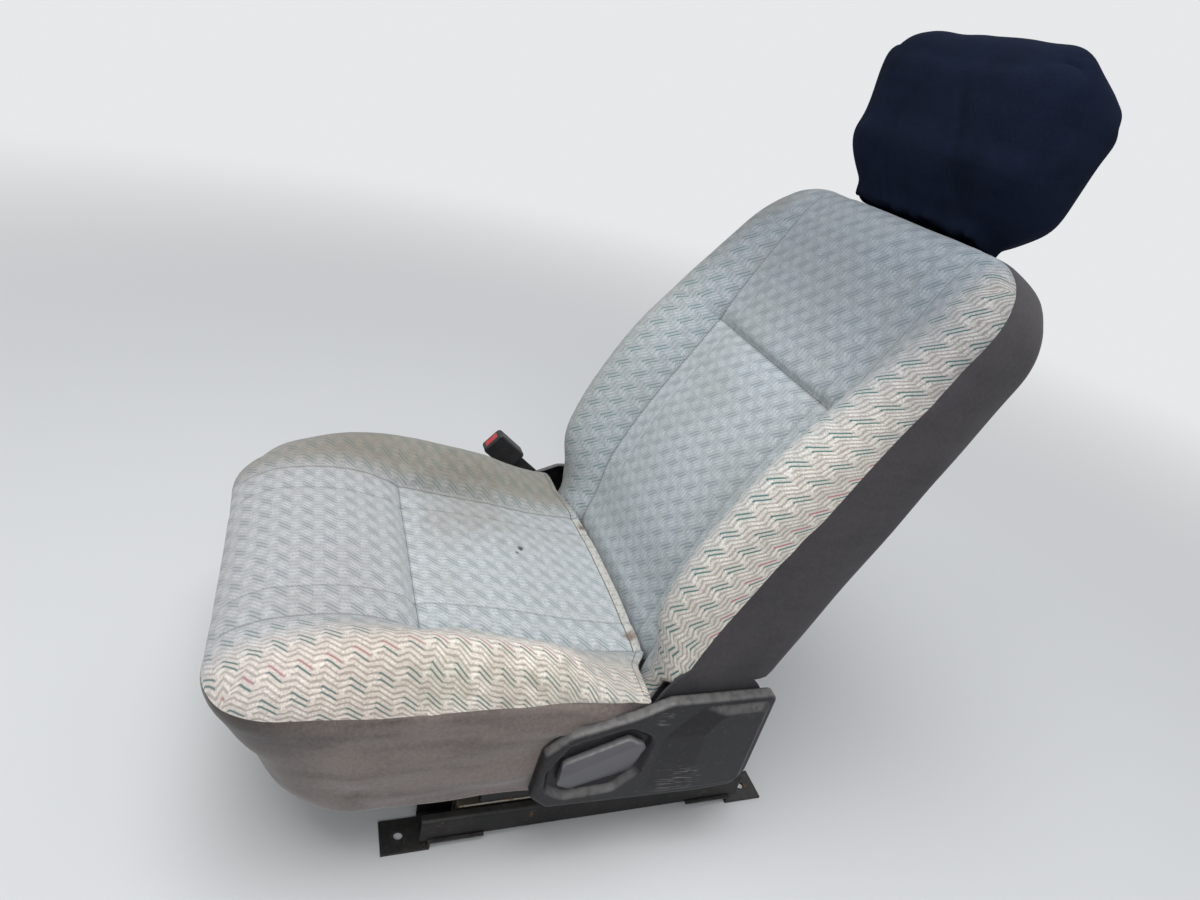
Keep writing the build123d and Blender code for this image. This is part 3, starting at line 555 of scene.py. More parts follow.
back_weave = woven_cloth(
    "back_weave_cloth",
    ((183, 191, 195), (216, 210, 202), (146, 149, 145)),
    (0.286, 1.0, 0.95),
    # Painted shade: the back darker towards its top, as under the cab's roof.
    (0.30, 0.52, (0.54, 0.56, 0.60, 1)),
    (),
)
# The skirt is painted darker towards the nose: painted shade.
skirt_cloth = plain_cloth("skirt_cloth", srgb(124, 113, 108), srgb(80, 72, 69), fold_shading=0.16,
                          shaded=(0.36, 0.36, 0.36, 1))
side_cloth = plain_cloth("side_cloth", srgb(70, 67, 70), srgb(52, 50, 53), sheen=0.1)
navy_cloth = plain_cloth("navy_cloth", srgb(21, 29, 47), srgb(13, 18, 31), 1400.0, 0.0, 0.06)
print("cloth finishes",
      [cloth.name for cloth in (seat_weave, back_weave, skirt_cloth, side_cloth, navy_cloth)])

# %% [markdown]
# ## Hard finishes
# The covers are charcoal polypropylene with a fine leather grain. The rails are black paint gone
# glossy, with rust where feet and dust reach. A Bevel node softens the CAD's crisp edges in the
# shading, and its difference from the true normal marks where hands have polished them.

# %% Moulded plastic and metal
def hard_finish(name, colour, worn, roughness, metallic=0.0, grain=0.0, rust=0.0, edge=0.0012, top_highlight=0.1,
                scuffs=()):
    """A hard surface: paler wear on its edges and a painted highlight on its upward faces; scuffs are
    (centre, reach, turn).
    """
    material, tree, shader, where = start_material(name)
    point = where.outputs["Object"]
    soft_edge = place_node(tree, "ShaderNodeBevel", Radius=edge)
    soft_edge.samples = 4 if edge < 0.002 else 8
    true_normal = tree.nodes.new("ShaderNodeNewGeometry")
    facing = place_node(tree, "ShaderNodeVectorMath", {"operation": "DOT_PRODUCT"})
    tree.links.new(soft_edge.outputs["Normal"], facing.inputs[0])
    tree.links.new(true_normal.outputs["Normal"], facing.inputs[1])
    rubbed = cloud(tree, point, 120.0, 4.0)
    wear = calc(tree, "MULTIPLY", fade(tree, facing.outputs["Value"], 0.985, 0.90),
                fade(tree, rubbed, 0.40, 0.62))
    dirt = use_group(tree, soiling, Vector=point, Broad=16.0)
    shade = blend_colour(tree, calc(tree, "MULTIPLY", dirt.outputs["Stain"], 0.35), colour, worn)
    shade = blend_colour(tree, wear, shade, worn)
    dust = calc(tree, "MULTIPLY", dirt.outputs["Specks"], 0.10)
    shade = blend_colour(tree, dust, shade, srgb(140, 132, 120))
    # Painted highlight: faces that turn upward are painted paler, as if lit from above.
    facing_up = place_node(tree, "ShaderNodeSeparateXYZ", Vector=soft_edge.outputs["Normal"])
    highlight_on_top = calc(tree, "MULTIPLY", fade(tree, facing_up.outputs["Z"], 0.15, 0.80),
                   fade(tree, rubbed, 0.25, 0.60, 0.6, 1.0))
    shade = blend_colour(tree, calc(tree, "MULTIPLY", highlight_on_top, top_highlight), shade, srgb(150, 148, 146))
    for centre, reach, turn in scuffs:
        turned = place_node(tree, "ShaderNodeMapping", Vector=point, Rotation=(turn, 0, 0),
                            Scale=(20, 45, 1100))
        lines = cloud(tree, turned.outputs["Vector"], 1.0, 1.0)
        away = place_node(tree, "ShaderNodeVectorMath", {"operation": "DISTANCE"})
        tree.links.new(point, away.inputs[0])
        away.inputs[1].default_value = centre
        scratch = calc(tree, "MULTIPLY", fade(tree, lines, 0.62, 0.68),
                       fade(tree, away.outputs["Value"], reach, reach * 0.6))
        shade = blend_colour(tree, calc(tree, "MULTIPLY", scratch, 0.8), shade, srgb(132, 130, 130))
    rough = calc(tree, "MULTIPLY_ADD", dirt.outputs["Stain"], 0.12, roughness)
    if rust:
        patches = cloud(tree, point, 28.0, 6.0, 0.7)
        rusty = fade(tree, patches, 0.66 - rust, 0.74 - rust)
        shade = blend_colour(tree, rusty, shade, srgb(112, 74, 48))
        rough = calc(tree, "MAXIMUM", rough, calc(tree, "MULTIPLY", rusty, 0.85))
        metal = calc(tree, "MULTIPLY", calc(tree, "SUBTRACT", 1.0, rusty), metallic)
        tree.links.new(metal, shader.inputs["Metallic"])
    else:
        shader.inputs["Metallic"].default_value = metallic
    tree.links.new(shade, shader.inputs["Base Color"])
    tree.links.new(rough, shader.inputs["Roughness"])
    if grain:
        cells = place_node(tree, "ShaderNodeTexVoronoi", Vector=point, Scale=grain)
        bump = place_node(tree, "ShaderNodeBump", Height=cells.outputs["Distance"],
                          Normal=soft_edge.outputs["Normal"],
                          Strength=0.25, Distance=0.0004)
        tree.links.new(bump.outputs["Normal"], shader.inputs["Normal"])
    else:
        tree.links.new(soft_edge.outputs["Normal"], shader.inputs["Normal"])
    shader.inputs["Specular IOR Level"].default_value = 0.5 if metallic else 0.28
    return material


print("hard finish ready")

# %% Finishes on the CAD pieces
# The cover and the lever get the strongest painted highlight on their upward faces.
FINISHES = {
    "cover_plastic": hard_finish(
        "charcoal_plastic", srgb(23, 22, 26), srgb(50, 49, 53), 0.36, grain=900.0, edge=0.006, top_highlight=0.42,
        scuffs=(((0.262, 0.073, 0.134), 0.034, radians(-32)), ((0.262, 0.028, 0.240), 0.014, radians(20))),
    ),
    "black_plastic": hard_finish("black_plastic", srgb(34, 34, 36), srgb(70, 70, 72), 0.45, grain=1200.0),
    "red_plastic": hard_finish("red_button", srgb(190, 44, 52), srgb(222, 120, 120), 0.35),
    "rail_steel": hard_finish("rail_paint", srgb(13, 12, 13), srgb(58, 52, 48), 0.30, rust=0.03),
    "zinc_steel": hard_finish("zinc_plate", srgb(150, 146, 132), srgb(186, 182, 170), 0.42, metallic=0.85,
                              rust=0.08),
    "frame_steel": hard_finish("frame_paint", srgb(28, 28, 30), srgb(74, 70, 66), 0.42, rust=0.01),
    "spring_wire": hard_finish("spring_steel", srgb(86, 84, 82), srgb(120, 116, 110), 0.4, metallic=0.8,
                               rust=0.10),
    "post_steel": hard_finish("bright_steel", srgb(205, 205, 207), srgb(225, 225, 226), 0.16, metallic=1.0),
}
# The lever is painted lighter than the cover: a painted highlight for its face, which turns up to the light.
lit_lever_plastic = hard_finish("lit_lever_plastic", srgb(86, 85, 90), srgb(106, 105, 110), 0.30, grain=900.0,
                            edge=0.006, top_highlight=0.55)
screw_steel = hard_finish("screw_head", srgb(122, 112, 106), srgb(158, 148, 140), 0.5, metallic=0.5,
                          rust=0.10)
for part in frame["record"]["subparts"]:
    finish = FINISHES.get(part["material_slot"])
    if finish:
        node_object = frame["nodes"][part["node"]]
        node_object.data.materials.clear()
        node_object.data.materials.append(lit_lever_plastic if part["node"] == "recline_lever" else finish)
print("finishes", sorted(FINISHES))

# %% [markdown]
# ## One sliced block for each soft piece
# A cushion cover is a few flat panels sewn round a block of foam. So each soft piece starts as a
# plain box, sliced by planes: a few where the seams are, and many between. One function then says
# where each point of the box goes. The slices give the cloth tidy threads of faces along the seams,
# and the lengths along those threads, once shaped, give the cloth's UV in real metres.

# %% Shaping helpers
def step(low, high, value):
    """Smooth step from 0 at low to 1 at high."""
    share = min(1.0, max(0.0, (value - low) / (high - low)))
    return share * share * (3 - 2 * share)


def ring(first, second):
    """Turn a square's corner into a circle's: both distances shrink towards the diagonal."""
    if first <= 0 or second <= 0:
        return first, second
    share = max(first, second) / hypot(first, second)
    return first * share, second * share


def follow(points, value):
    """A smooth curve through (place, height) points, read at value."""
    last = len(points) - 1
    number = next((n for n in range(1, last) if value <= points[n][0]), last)
    (x0, y0), (x1, y1) = points[number - 1], points[number]
    share = min(1.0, max(0.0, (value - x0) / (x1 - x0)))

    def slope(at):
        """The curve's slope at a point, from its neighbours."""
        before, after = points[max(0, at - 1)], points[min(last, at + 1)]
        return (after[1] - before[1]) / (after[0] - before[0]) * (x1 - x0)

    start, end = slope(number - 1), slope(number)
    turn = 2 * y0 - 2 * y1 + start + end
    return y0 + share * (start + share * ((3 * y1 - 3 * y0 - 2 * start - end) + share * turn))


def groove(value, place, width):
    """1 at the seam, falling to 0 about a width away."""
    away = abs(value - place) / width
    return exp(-away * away * 2)


print("a circle's corner:", [round(v, 3) for v in ring(1.0, 1.0)])


# %% Slicing helpers
def marks(low, high, spacing, seams=(), half_seam=0.003):
    """Places to slice from low to high, about evenly, with three close slices at each seam."""
    kept = [s + d for s in seams for d in (-half_seam, 0.0, half_seam)]
    count = max(1, round((high - low) / spacing))
    for number in range(1, count):
        value = low + (high - low) * number / count
        if all(abs(value - s) > half_seam + spacing * 0.35 for s in seams):
            kept.append(value)
    return sorted(kept)


def sliced_block(low, high, slices):
    """A box from corner low to corner high, cut by planes: slices is (axis, places) rows."""
    bm = bmesh.new()
    bmesh.ops.create_cube(bm, size=1)
    low, high = Vector(low), Vector(high)
    bmesh.ops.scale(bm, vec=high - low, verts=bm.verts)
    bmesh.ops.translate(bm, vec=(high + low) / 2, verts=bm.verts)
    for axis, places in slices:
        normal = Vector((0, 0, 0))
        normal[axis] = 1
        for value in places:
            geometry = bm.verts[:] + bm.edges[:] + bm.faces[:]
            bmesh.ops.bisect_plane(bm, geom=geometry, plane_co=normal * value, plane_no=normal)
    return bm


print("slices of a 0.1 m side:", len(marks(0.0, 0.1, 0.01)))


# %% Cloth lengths and UV
def spot(*place):
    """A name for a place in the box that small errors don't change."""
    return tuple(round(c * 1e5) for c in place)


def run_lengths(line, ends, start, reference):
    """Lengths along a line of points, measured both ways from the point nearest to start."""
    middle = min(range(len(line)), key=lambda n: abs(line[n] - start))
    lengths = {line[middle]: reference}
    for way in (1, -1):
        at = middle
        while 0 <= at + way < len(line):
            gap = (ends[line[at + way]] - ends[line[at]]).length
            lengths[line[at + way]] = lengths[line[at]] + way * gap
            at += way
    return lengths


# %% Sewing
def sew(bm, boxes, top, seam_depth, tone, seam, strip, start):
    """Lay the cloth: its UV is the length along it, in metres, both ways from (0, start)."""
    shaped = {spot(*box): vert.co for vert, box in zip(bm.verts, boxes)}
    skin = [box for box in boxes if abs(box.z - top) < 1e-5]
    xs = sorted({round(b.x, 5) for b in skin})
    ys = sorted({round(b.y, 5) for b in skin})
    zs = sorted({round(b.z, 5) for b in boxes if abs(b.x - xs[-1]) < 1e-5}, reverse=True)
    across, along = {}, {}
    for y in ys:
        row = run_lengths(xs, {x: shaped[spot(x, y, top)] for x in xs}, 0.0, min(xs, key=abs))
        across.update({spot(x, y, 0): length for x, length in row.items()})
    print("half the cloth's width, m:", [round(across[spot(xs[-1], y, 0)], 3) for y in ys[::8]])
    for x in xs:
        column = run_lengths(ys, {y: shaped[spot(x, y, top)] for y in ys}, start, start)
        along.update({spot(x, y, 0): length for y, length in column.items()})

    def drop(x, y, z):
        """Length down the side from the top edge."""
        line = [shaped[spot(x, y, level)] for level in zs if level > z - 1e-5 and spot(x, y, level) in shaped]
        return sum((lower - upper).length for upper, lower in zip(line, line[1:]))

    uv_layer = bm.loops.layers.uv.new("cloth")
    tone_layer = bm.verts.layers.float.new("bolster")
    seam_layer = bm.verts.layers.float.new("seam")
    strip_layer = bm.verts.layers.float.new("strip")
    place_of = dict(zip(bm.verts, boxes))
    for face in bm.faces:
        corners = [place_of[v] for v in face.verts]
        on_side = all(abs(abs(c.x) - xs[-1]) < 1e-5 for c in corners)
        on_end = all(abs(c.y - ys[0]) < 1e-5 or abs(c.y - ys[-1]) < 1e-5 for c in corners)
        on_top = all(abs(c.z - top) < 1e-5 for c in corners)
        woven = on_top or (min(c.z for c in corners) > top - seam_depth - 1e-4 and (on_side or on_end))
        face.material_index = 0 if woven else 1
        for loop in face.loops:
            box = place_of[loop.vert]
            key = spot(box.x, box.y, 0)
            if key not in across:
                loop[uv_layer].uv = (box.x, box.y)
                continue
            fall = drop(box.x, box.y, box.z) if woven and not on_top else 0.0
            side = fall * (1 if box.x > 0 else -1) if on_side else 0.0
            end = fall * (1 if box.y > start else -1) if on_end else 0.0
            loop[uv_layer].uv = (across[key] + side, along[key] + end)
    for vert, box in place_of.items():
        vert[tone_layer] = tone(box)
        vert[seam_layer] = seam(box)
        vert[strip_layer] = strip(box)


# %% From bmesh to object
def finish_mesh(bm, name, materials, smooth=True):
    """Write a bmesh to a new object."""
    data = bpy.data.meshes.new(name)
    for face in bm.faces:
        face.smooth = smooth
    bm.to_mesh(data)
    bm.free()
    for material in materials:
        data.materials.append(material)
    piece = bpy.data.objects.new(name, data)
    bpy.context.scene.collection.objects.link(piece)
    return piece


# %% Puffing
FOAM_HOLDS = 0.9


def puff(piece, pins, pressure, cap, frames=20):
    """Let the cover fill out: cloth under inner pressure, with pinned seams and a cap on the way moved."""
    rest = [v.co.copy() for v in piece.data.vertices]
    outward = [v.normal.copy() for v in piece.data.vertices]
    group = piece.vertex_groups.new(name="pins")
    group.add(pins, 1.0, "REPLACE")
    cloth = piece.modifiers.new("cover", "CLOTH")
    settings = cloth.settings
    settings.quality = 4
    settings.mass = 0.25
    settings.tension_stiffness = 12
    settings.compression_stiffness = 12
    settings.shear_stiffness = 4
    settings.bending_stiffness = 0.4
    settings.use_pressure = True
    settings.uniform_pressure_force = pressure
    settings.effector_weights.gravity = 0
    settings.vertex_group_mass = "pins"
    cloth.point_cache.frame_start = 1
    cloth.point_cache.frame_end = frames
    scene = bpy.context.scene
    for number in range(1, frames + 1):
        scene.frame_set(number)
    posed = piece.evaluated_get(bpy.context.evaluated_depsgraph_get())
    moved = [v.co.copy() for v in posed.to_mesh().vertices]
    posed.to_mesh_clear()
    piece.modifiers.remove(cloth)
    piece.vertex_groups.remove(group)
    scene.frame_set(1)
    farthest = 0.0
    for vertex, start, end, normal in zip(piece.data.vertices, rest, moved, outward):
        way = end - start
        way -= normal * min(0.0, way.dot(normal)) * FOAM_HOLDS
        if way.length > cap:
            way *= cap / way.length
        farthest = max(farthest, way.length)
        vertex.co = start + way
    piece.data.update()
    print(piece.name, "puffed by up to", round(farthest * 1000, 1), "mm")


# %% Seams and dressing
def settle(piece, boxes, pull, ripple):
    """Move each point along its normal: in at the seams, in and out at the folds."""
    normals = [v.normal.copy() for v in piece.data.vertices]
    for vertex, box, normal in zip(piece.data.vertices, boxes, normals):
        vertex.co += normal * (ripple(box) - pull(box))
    piece.data.update()


def dress(piece, body, node):
    smoothing = piece.modifiers.new("smooth", "SUBSURF")
    smoothing.levels = smoothing.render_levels = 1
    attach(piece, body)
    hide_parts(node)
    print(piece.name, "faces", len(piece.data.polygons))


# %% [markdown]
# ## Cushion
# The cushion's woven top has a sunk middle panel between two bolsters and a front roll, and a plain
# skirt below a seam that runs round the side. Heights along the seat are three short curves: panel,
# bolster and edge. The skirt narrows to its foot and leans back in front, and the plan has round
# corners. Below it is hollow for the steel frame, so the box gets a pocket in its underside.

# %% Cushion sizes
CUSHION_LOW, CUSHION_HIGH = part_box("cushion")
FRAME_LOW, FRAME_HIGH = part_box("cushion_frame")
SPRING_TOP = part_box("cushion_springs")[1].z
PIVOT = Vector((0, 0.112, 0.220))
HALF = CUSHION_HIGH.x - 0.002
NOSE = CUSHION_LOW.y - 0.004
REAR = CUSHION_HIGH.y - 0.004
REAR_SEAM = REAR - 0.0165
FOOT = CUSHION_LOW.z + 0.001
DEEP = 0.205
TOP = FOOT + DEEP
SKIRT_SEAM = 0.034
PANEL_HALF = 0.146
STRIP_HALF = 0.098
PANEL_FRONT = -0.236
EDGE_ROUND = 0.044
NOSE_ROUND = 0.052
PLAN_CORNER = 0.084
FOOT_CORNER = 0.095
SKIRT_TUCK = 0.015
SKIRT_LEAN = 0.073
POCKET_SIDE = FRAME_HIGH.x + 0.0006
POCKET_FRONT = FRAME_LOW.y - 0.0006
POCKET_REAR = FRAME_HIGH.y + 0.0006
POCKET_TOP = SPRING_TOP + 0.0008
POCKET_CORNER = 0.060
BEND_START = -0.10
BOLSTER_FROM = 0.150
BOLSTER_RAMP = 0.042
REAR_ARC = 0.0660
REAR_ARC_BOLSTER = 0.0335
REAR_ARC_LOW = 0.003
PANEL_LINE = ((NOSE, 0.289), (-0.432, 0.297), (-0.390, 0.303), (-0.315, 0.303), (PANEL_FRONT, 0.281),
              (-0.120, 0.257), (0.0, 0.236), (REAR, 0.229))
BOLSTER_LINE = ((NOSE, 0.288), (-0.432, 0.299), (-0.390, 0.313), (-0.310, 0.330), (PANEL_FRONT, 0.329),
                (-0.120, 0.304), (0.0, 0.270), (REAR, 0.252))
EDGE_LINE = ((NOSE, 0.264), (-0.390, 0.268), (-0.310, 0.271), (-0.120, 0.270), (0.0, 0.258), (REAR, 0.249))
print("cushion", round(2 * HALF, 3), "by", round(REAR - NOSE, 3), "m")


# %% Cushion outline
def at_bolster(x):
    """0 on the panel, 1 on the bolsters, for the arcs about the recliner's axis."""
    return min(1.0, max(0.0, (abs(x) - BOLSTER_FROM) / BOLSTER_RAMP))


def cushion_top(x, y):
    """Height of the woven top: the panel in the middle, bolsters at the sides."""
    panel, bolster = follow(PANEL_LINE, y), follow(BOLSTER_LINE, y)
    swell = 0.005 * max(0.0, 1 - (x / PANEL_HALF) ** 2) * step(PANEL_FRONT, PANEL_FRONT + 0.1, y)
    return panel + (bolster - panel) * step(PANEL_HALF - 0.010, 0.202, abs(x)) + swell


def cushion_rear(x, z):
    """How far back the cushion may go: an arc about the recliner's axis, wider at the bolsters."""
    bolster = at_bolster(x)
    rise = z - PIVOT.z
    radius = REAR_ARC + REAR_ARC_BOLSTER * bolster + REAR_ARC_LOW * step(-0.015, -0.045, rise)
    if abs(rise) >= radius:
        return REAR
    clear = 0.002 * bolster * step(0.0, 0.05, rise)
    return min(REAR, PIVOT.y - sqrt(radius * radius - rise * rise) - clear)


def plan_round(x, y, corner, side, front):
    """Round a plan's front corner: side and front are where its two straight edges lie."""
    past_x, past_y = ring(x - (side - corner), (front + corner) - y)
    if past_x > 0 and past_y > 0:
        return side - corner + past_x, front + corner - past_y
    return x, y


def skirt_place(x, y, below):
    """Plan place of a point that is on the outside, with below from 0 at the seam to 1 at the foot."""
    side = HALF - SKIRT_TUCK * below
    front = NOSE + SKIRT_LEAN * below
    x, y = x * side / HALF, REAR - (REAR - y) * (REAR - front) / (REAR - NOSE)
    return plan_round(x, y, PLAN_CORNER + (FOOT_CORNER - PLAN_CORNER) * below, side, front)


print("top at the nose's middle:", round(cushion_top(0.0, NOSE), 3))


# %% Cushion foot and shoulder
def foot_place(x, y):
    """Plan place in the foot's rim, between the pocket's edge and the skirt's."""
    out_x = (x - POCKET_SIDE) / (HALF - POCKET_SIDE)
    out_front = (POCKET_FRONT - y) / (POCKET_FRONT - NOSE)
    out_rear = (y - POCKET_REAR) / (REAR - POCKET_REAR)
    share = max(out_x, out_front, out_rear)
    held_x, held_y = min(x, POCKET_SIDE), min(max(y, POCKET_FRONT), POCKET_REAR)
    inner = plan_round(held_x, held_y, POCKET_CORNER, POCKET_SIDE, POCKET_FRONT)
    far_x, far_y = held_x, held_y
    if out_x > 0:
        far_x = POCKET_SIDE + (HALF - POCKET_SIDE) * out_x / share
    if out_front > 0:
        far_y = POCKET_FRONT + (NOSE - POCKET_FRONT) * out_front / share
    if out_rear > 0:
        far_y = POCKET_REAR + (REAR - POCKET_REAR) * out_rear / share
    outer = skirt_place(far_x, far_y, 1.0)
    return inner[0] + (outer[0] - inner[0]) * share, inner[1] + (outer[1] - inner[1]) * share


def shoulder(from_side, from_front, depth, y):
    """Round the block's top edges: move a point in from the nearest side and down."""
    near = min(from_side, from_front)
    radius = EDGE_ROUND + (NOSE_ROUND - EDGE_ROUND) * step(-0.30, -0.40, y)
    inward, down = ring(radius - near, radius - depth)
    moved, depth = radius - inward, radius - down
    share = (PLAN_CORNER - moved) / (PLAN_CORNER - near) if near < radius else 1.0
    if from_side < PLAN_CORNER:
        from_side = PLAN_CORNER - (PLAN_CORNER - from_side) * share
    if from_front < PLAN_CORNER:
        from_front = PLAN_CORNER - (PLAN_CORNER - from_front) * share
    return from_side, from_front, depth


print("foot's corner:", [round(v, 3) for v in foot_place(HALF, NOSE)])


# %% Cushion point
def cushion_point(box):
    """Where a point of the box goes."""
    sign, x, y = (1 if box.x >= 0 else -1), abs(box.x), box.y
    in_pocket = x < POCKET_SIDE + 1e-5 and POCKET_FRONT - 1e-5 < y < POCKET_REAR + 1e-5
    if in_pocket and box.z < POCKET_TOP + 1e-5:
        x, y = plan_round(x, y, POCKET_CORNER, POCKET_SIDE, POCKET_FRONT)
        return Vector((sign * x, y, box.z))
    if box.z < FOOT + 1e-5:
        x, y = foot_place(x, y)
        return Vector((sign * x, y, box.z))
    from_side, from_front, depth = shoulder(HALF - x, y - NOSE, TOP - box.z, y)
    x, y = HALF - from_side, NOSE + from_front
    top = cushion_top(x, y)
    edge = min(follow(EDGE_LINE, y), top - 0.003)
    if depth < SKIRT_SEAM:
        z, below = top - (top - edge) * depth / SKIRT_SEAM, 0.0
    else:
        below = (depth - SKIRT_SEAM) / (DEEP - SKIRT_SEAM)
        z = edge - (edge - FOOT) * below
    x, y = skirt_place(x, y, below)
    limit = cushion_rear(x, z)
    if limit < REAR and z > POCKET_TOP and y > BEND_START:
        y = BEND_START + (y - BEND_START) * (limit - BEND_START) / (REAR - BEND_START)
    return Vector((sign * x, y, z))


# %% Cushion block
SLICE = 0.0095
across_seams = (-PANEL_HALF, -STRIP_HALF, STRIP_HALF, PANEL_HALF)
cushion_mesh = sliced_block(
    (-HALF, NOSE, FOOT),
    (HALF, REAR, TOP),
    (
        (0, sorted(marks(-HALF, HALF, SLICE, across_seams) + [-POCKET_SIDE, POCKET_SIDE])),
        (1, sorted(marks(NOSE, REAR, SLICE, (PANEL_FRONT, REAR_SEAM)) + [POCKET_FRONT, POCKET_REAR])),
        (2, sorted(marks(FOOT, TOP, SLICE, (TOP - SKIRT_SEAM,)) + [POCKET_TOP])),
    ),
)
roof = []
for face in cushion_mesh.faces:
    centre = face.calc_center_median()
    if face.normal.z < -0.9 and abs(centre.x) < POCKET_SIDE and POCKET_FRONT < centre.y < POCKET_REAR:
        roof.append(face)
lifted = bmesh.ops.extrude_face_region(cushion_mesh, geom=roof)
lifted_verts = [g for g in lifted["geom"] if isinstance(g, bmesh.types.BMVert)]
bmesh.ops.translate(cushion_mesh, vec=(0, 0, POCKET_TOP - FOOT), verts=lifted_verts)
bmesh.ops.delete(cushion_mesh, geom=[f for f in roof if f.is_valid], context="FACES")
bmesh.ops.recalc_face_normals(cushion_mesh, faces=cushion_mesh.faces)
print("cushion block faces", len(cushion_mesh.faces))


# %% Sew the cushion
def cushion_tone(box):
    """0 on the middle panel and the front roll, 1 on the outer bolsters."""
    start, end = (0.150, 0.215) if box.x > 0 else (0.134, 0.176)
    return step(start, end, abs(box.x)) * (1 - 0.25 * step(-0.30, -0.42, box.y))


def rear_strip(box):
    """1 on the pale strip that edges the panel's rear."""
    return step(REAR_SEAM - 0.001, REAR_SEAM + 0.001, box.y) if abs(box.z - TOP) < 0.001 else 0.0


def cushion_seam_mark(box):
    """1 on the seams between woven panels, less on the thin one inside the insert."""
    if box.z < TOP - 0.001:
        return 0.0
    if abs(box.y - PANEL_FRONT) < 0.001 and abs(box.x) < PANEL_HALF + 0.001:
        return 1.0
    if abs(abs(box.x) - PANEL_HALF) < 0.001:
        return 1.0
    return 0.85 if abs(abs(box.x) - STRIP_HALF) < 0.001 else 0.0


cushion_boxes = [v.co.copy() for v in cushion_mesh.verts]
for vert, box in zip(cushion_mesh.verts, cushion_boxes):
    vert.co = cushion_point(box)
sew(cushion_mesh, cushion_boxes, TOP, SKIRT_SEAM, cushion_tone, cushion_seam_mark, rear_strip, -0.1)
cushion = finish_mesh(cushion_mesh, "cushion_cover", (seat_weave, skirt_cloth))


# %% Fill the cushion and sink its seams
def on_cushion_seam(box, reach=0.0045):
    """Whether a point of the woven top lies on one of the panel's seams."""
    if box.z < TOP - 0.001 or box.y < PANEL_FRONT - reach:
        return False
    on_side = abs(abs(box.x) - PANEL_HALF) < reach
    on_front = abs(box.y - PANEL_FRONT) < reach and abs(box.x) < PANEL_HALF + reach
    return on_side or on_front


held = []
for index, box in enumerate(cushion_boxes):
    in_pocket = abs(box.x) < POCKET_SIDE + 1e-4 and box.z < POCKET_TOP + 1e-4
    if on_cushion_seam(box) or in_pocket or box.z < FOOT + 0.012 or box.y > REAR - 0.05:
        held.append(index)
puff(cushion, held, pressure=4.0, cap=0.007)


# %% Cushion seams and folds
def cushion_seams(box):
    """How far a point of the cushion is pulled in by the seams near it."""
    pull = 0.0
    if box.z > TOP - 0.03:
        behind = step(PANEL_FRONT - 0.004, PANEL_FRONT + 0.004, box.y)
        pull += 0.0040 * groove(abs(box.x), PANEL_HALF, 0.007) * (0.25 + 0.75 * behind)
        pull += 0.0012 * groove(abs(box.x), STRIP_HALF, 0.005)
        if abs(box.x) < PANEL_HALF + 0.004:
            pull += 0.0034 * groove(box.y, PANEL_FRONT, 0.007)
            pull += 0.0030 * groove(box.y, REAR_SEAM, 0.004)
    if (abs(box.x) > HALF - 0.004 or box.y < NOSE + 0.004) and box.y < REAR - 0.03:
        pull += 0.0026 * groove(box.z, TOP - SKIRT_SEAM, 0.005)
    return pull


def cushion_creases(box):
    """Soft folds of the skirt, and slight unevenness of the foam on top."""
    drop = TOP - box.z
    if drop < SKIRT_SEAM:
        return 0.0014 * noise.noise(Vector((box.x * 14, box.y * 11, 0.3)))
    if abs(box.x) < HALF - 0.004 and box.y > NOSE + 0.004:
        return 0.0
    rearward = step(-0.32, -0.05, box.y)
    wander = noise.noise(Vector((box.y * 7, drop * 9, box.x)))
    wave = sin(drop * 105 + box.y * 10 + 2.0 * wander)
    below_seam = step(SKIRT_SEAM, SKIRT_SEAM + 0.03, drop)
    slanted = sin(drop * 150 - box.y * 26 + 2.5 * wander)
    fold = 0.0024 * wave * (0.10 + 0.90 * rearward) + 0.0022 * slanted * step(-0.20, -0.06, box.y)
    return below_seam * (fold + 0.0050 * noise.noise(Vector((box.y * 9, drop * 20, box.x * 4))))


settle(cushion, cushion_boxes, cushion_seams, cushion_creases)
dress(cushion, "seat", "cushion")

# %% [markdown]
# ## Back
# The back is made the same way, lying in its own plane: across, up the back, and forward. It has a
# sunk middle panel with a seam across its top, two bolsters that grow towards the waist, plain
# darker sides and rear, and a lower end that curls round the recliner's axis.

# %% Back sizes
LEAN = radians(25.4)
BACK_HALF = 0.243
BACK_TOP = 0.592
BACK_FOOT = -0.058
BACK_PANEL = 0.150
BACK_PANEL_TOP = 0.357
BACK_STRIP = 0.113
BACK_THICK = 0.120
BACK_SEAM = 0.034
BACK_BEHIND = 0.045
TAIL_REAR = 0.0595
TAIL_FRONT = 0.060
TAIL_BOLSTER = 0.034
BACK_CORNER = 0.100
BACK_ROUND = 0.040
REAR_ROUND = 0.022
SIDE_NARROW = FRAME_HIGH.x - 0.006
NARROW_FROM = SIDE_NARROW - 0.022
SIDE_FOOT = 0.256
UP = Vector((0, sin(LEAN), cos(LEAN)))
FORWARD = Vector((0, -cos(LEAN), sin(LEAN)))
ACROSS = Vector((1, 0, 0))
BACK_BOLSTER = ((BACK_FOOT, 0.078), (0.009, 0.093), (0.070, 0.139), (0.120, 0.153), (0.190, 0.159),
                (0.280, 0.156),
                (0.360, 0.141), (0.445, 0.118), (0.510, 0.101), (BACK_TOP, 0.082))
BACK_EDGE = ((BACK_FOOT, 0.070), (0.009, 0.080), (0.070, 0.087), (0.120, 0.089), (0.360, 0.089),
             (0.445, 0.086),
             (0.510, 0.078), (BACK_TOP, 0.058))


print("back", 2 * BACK_HALF, "by", round(BACK_TOP - BACK_FOOT, 3), "m")


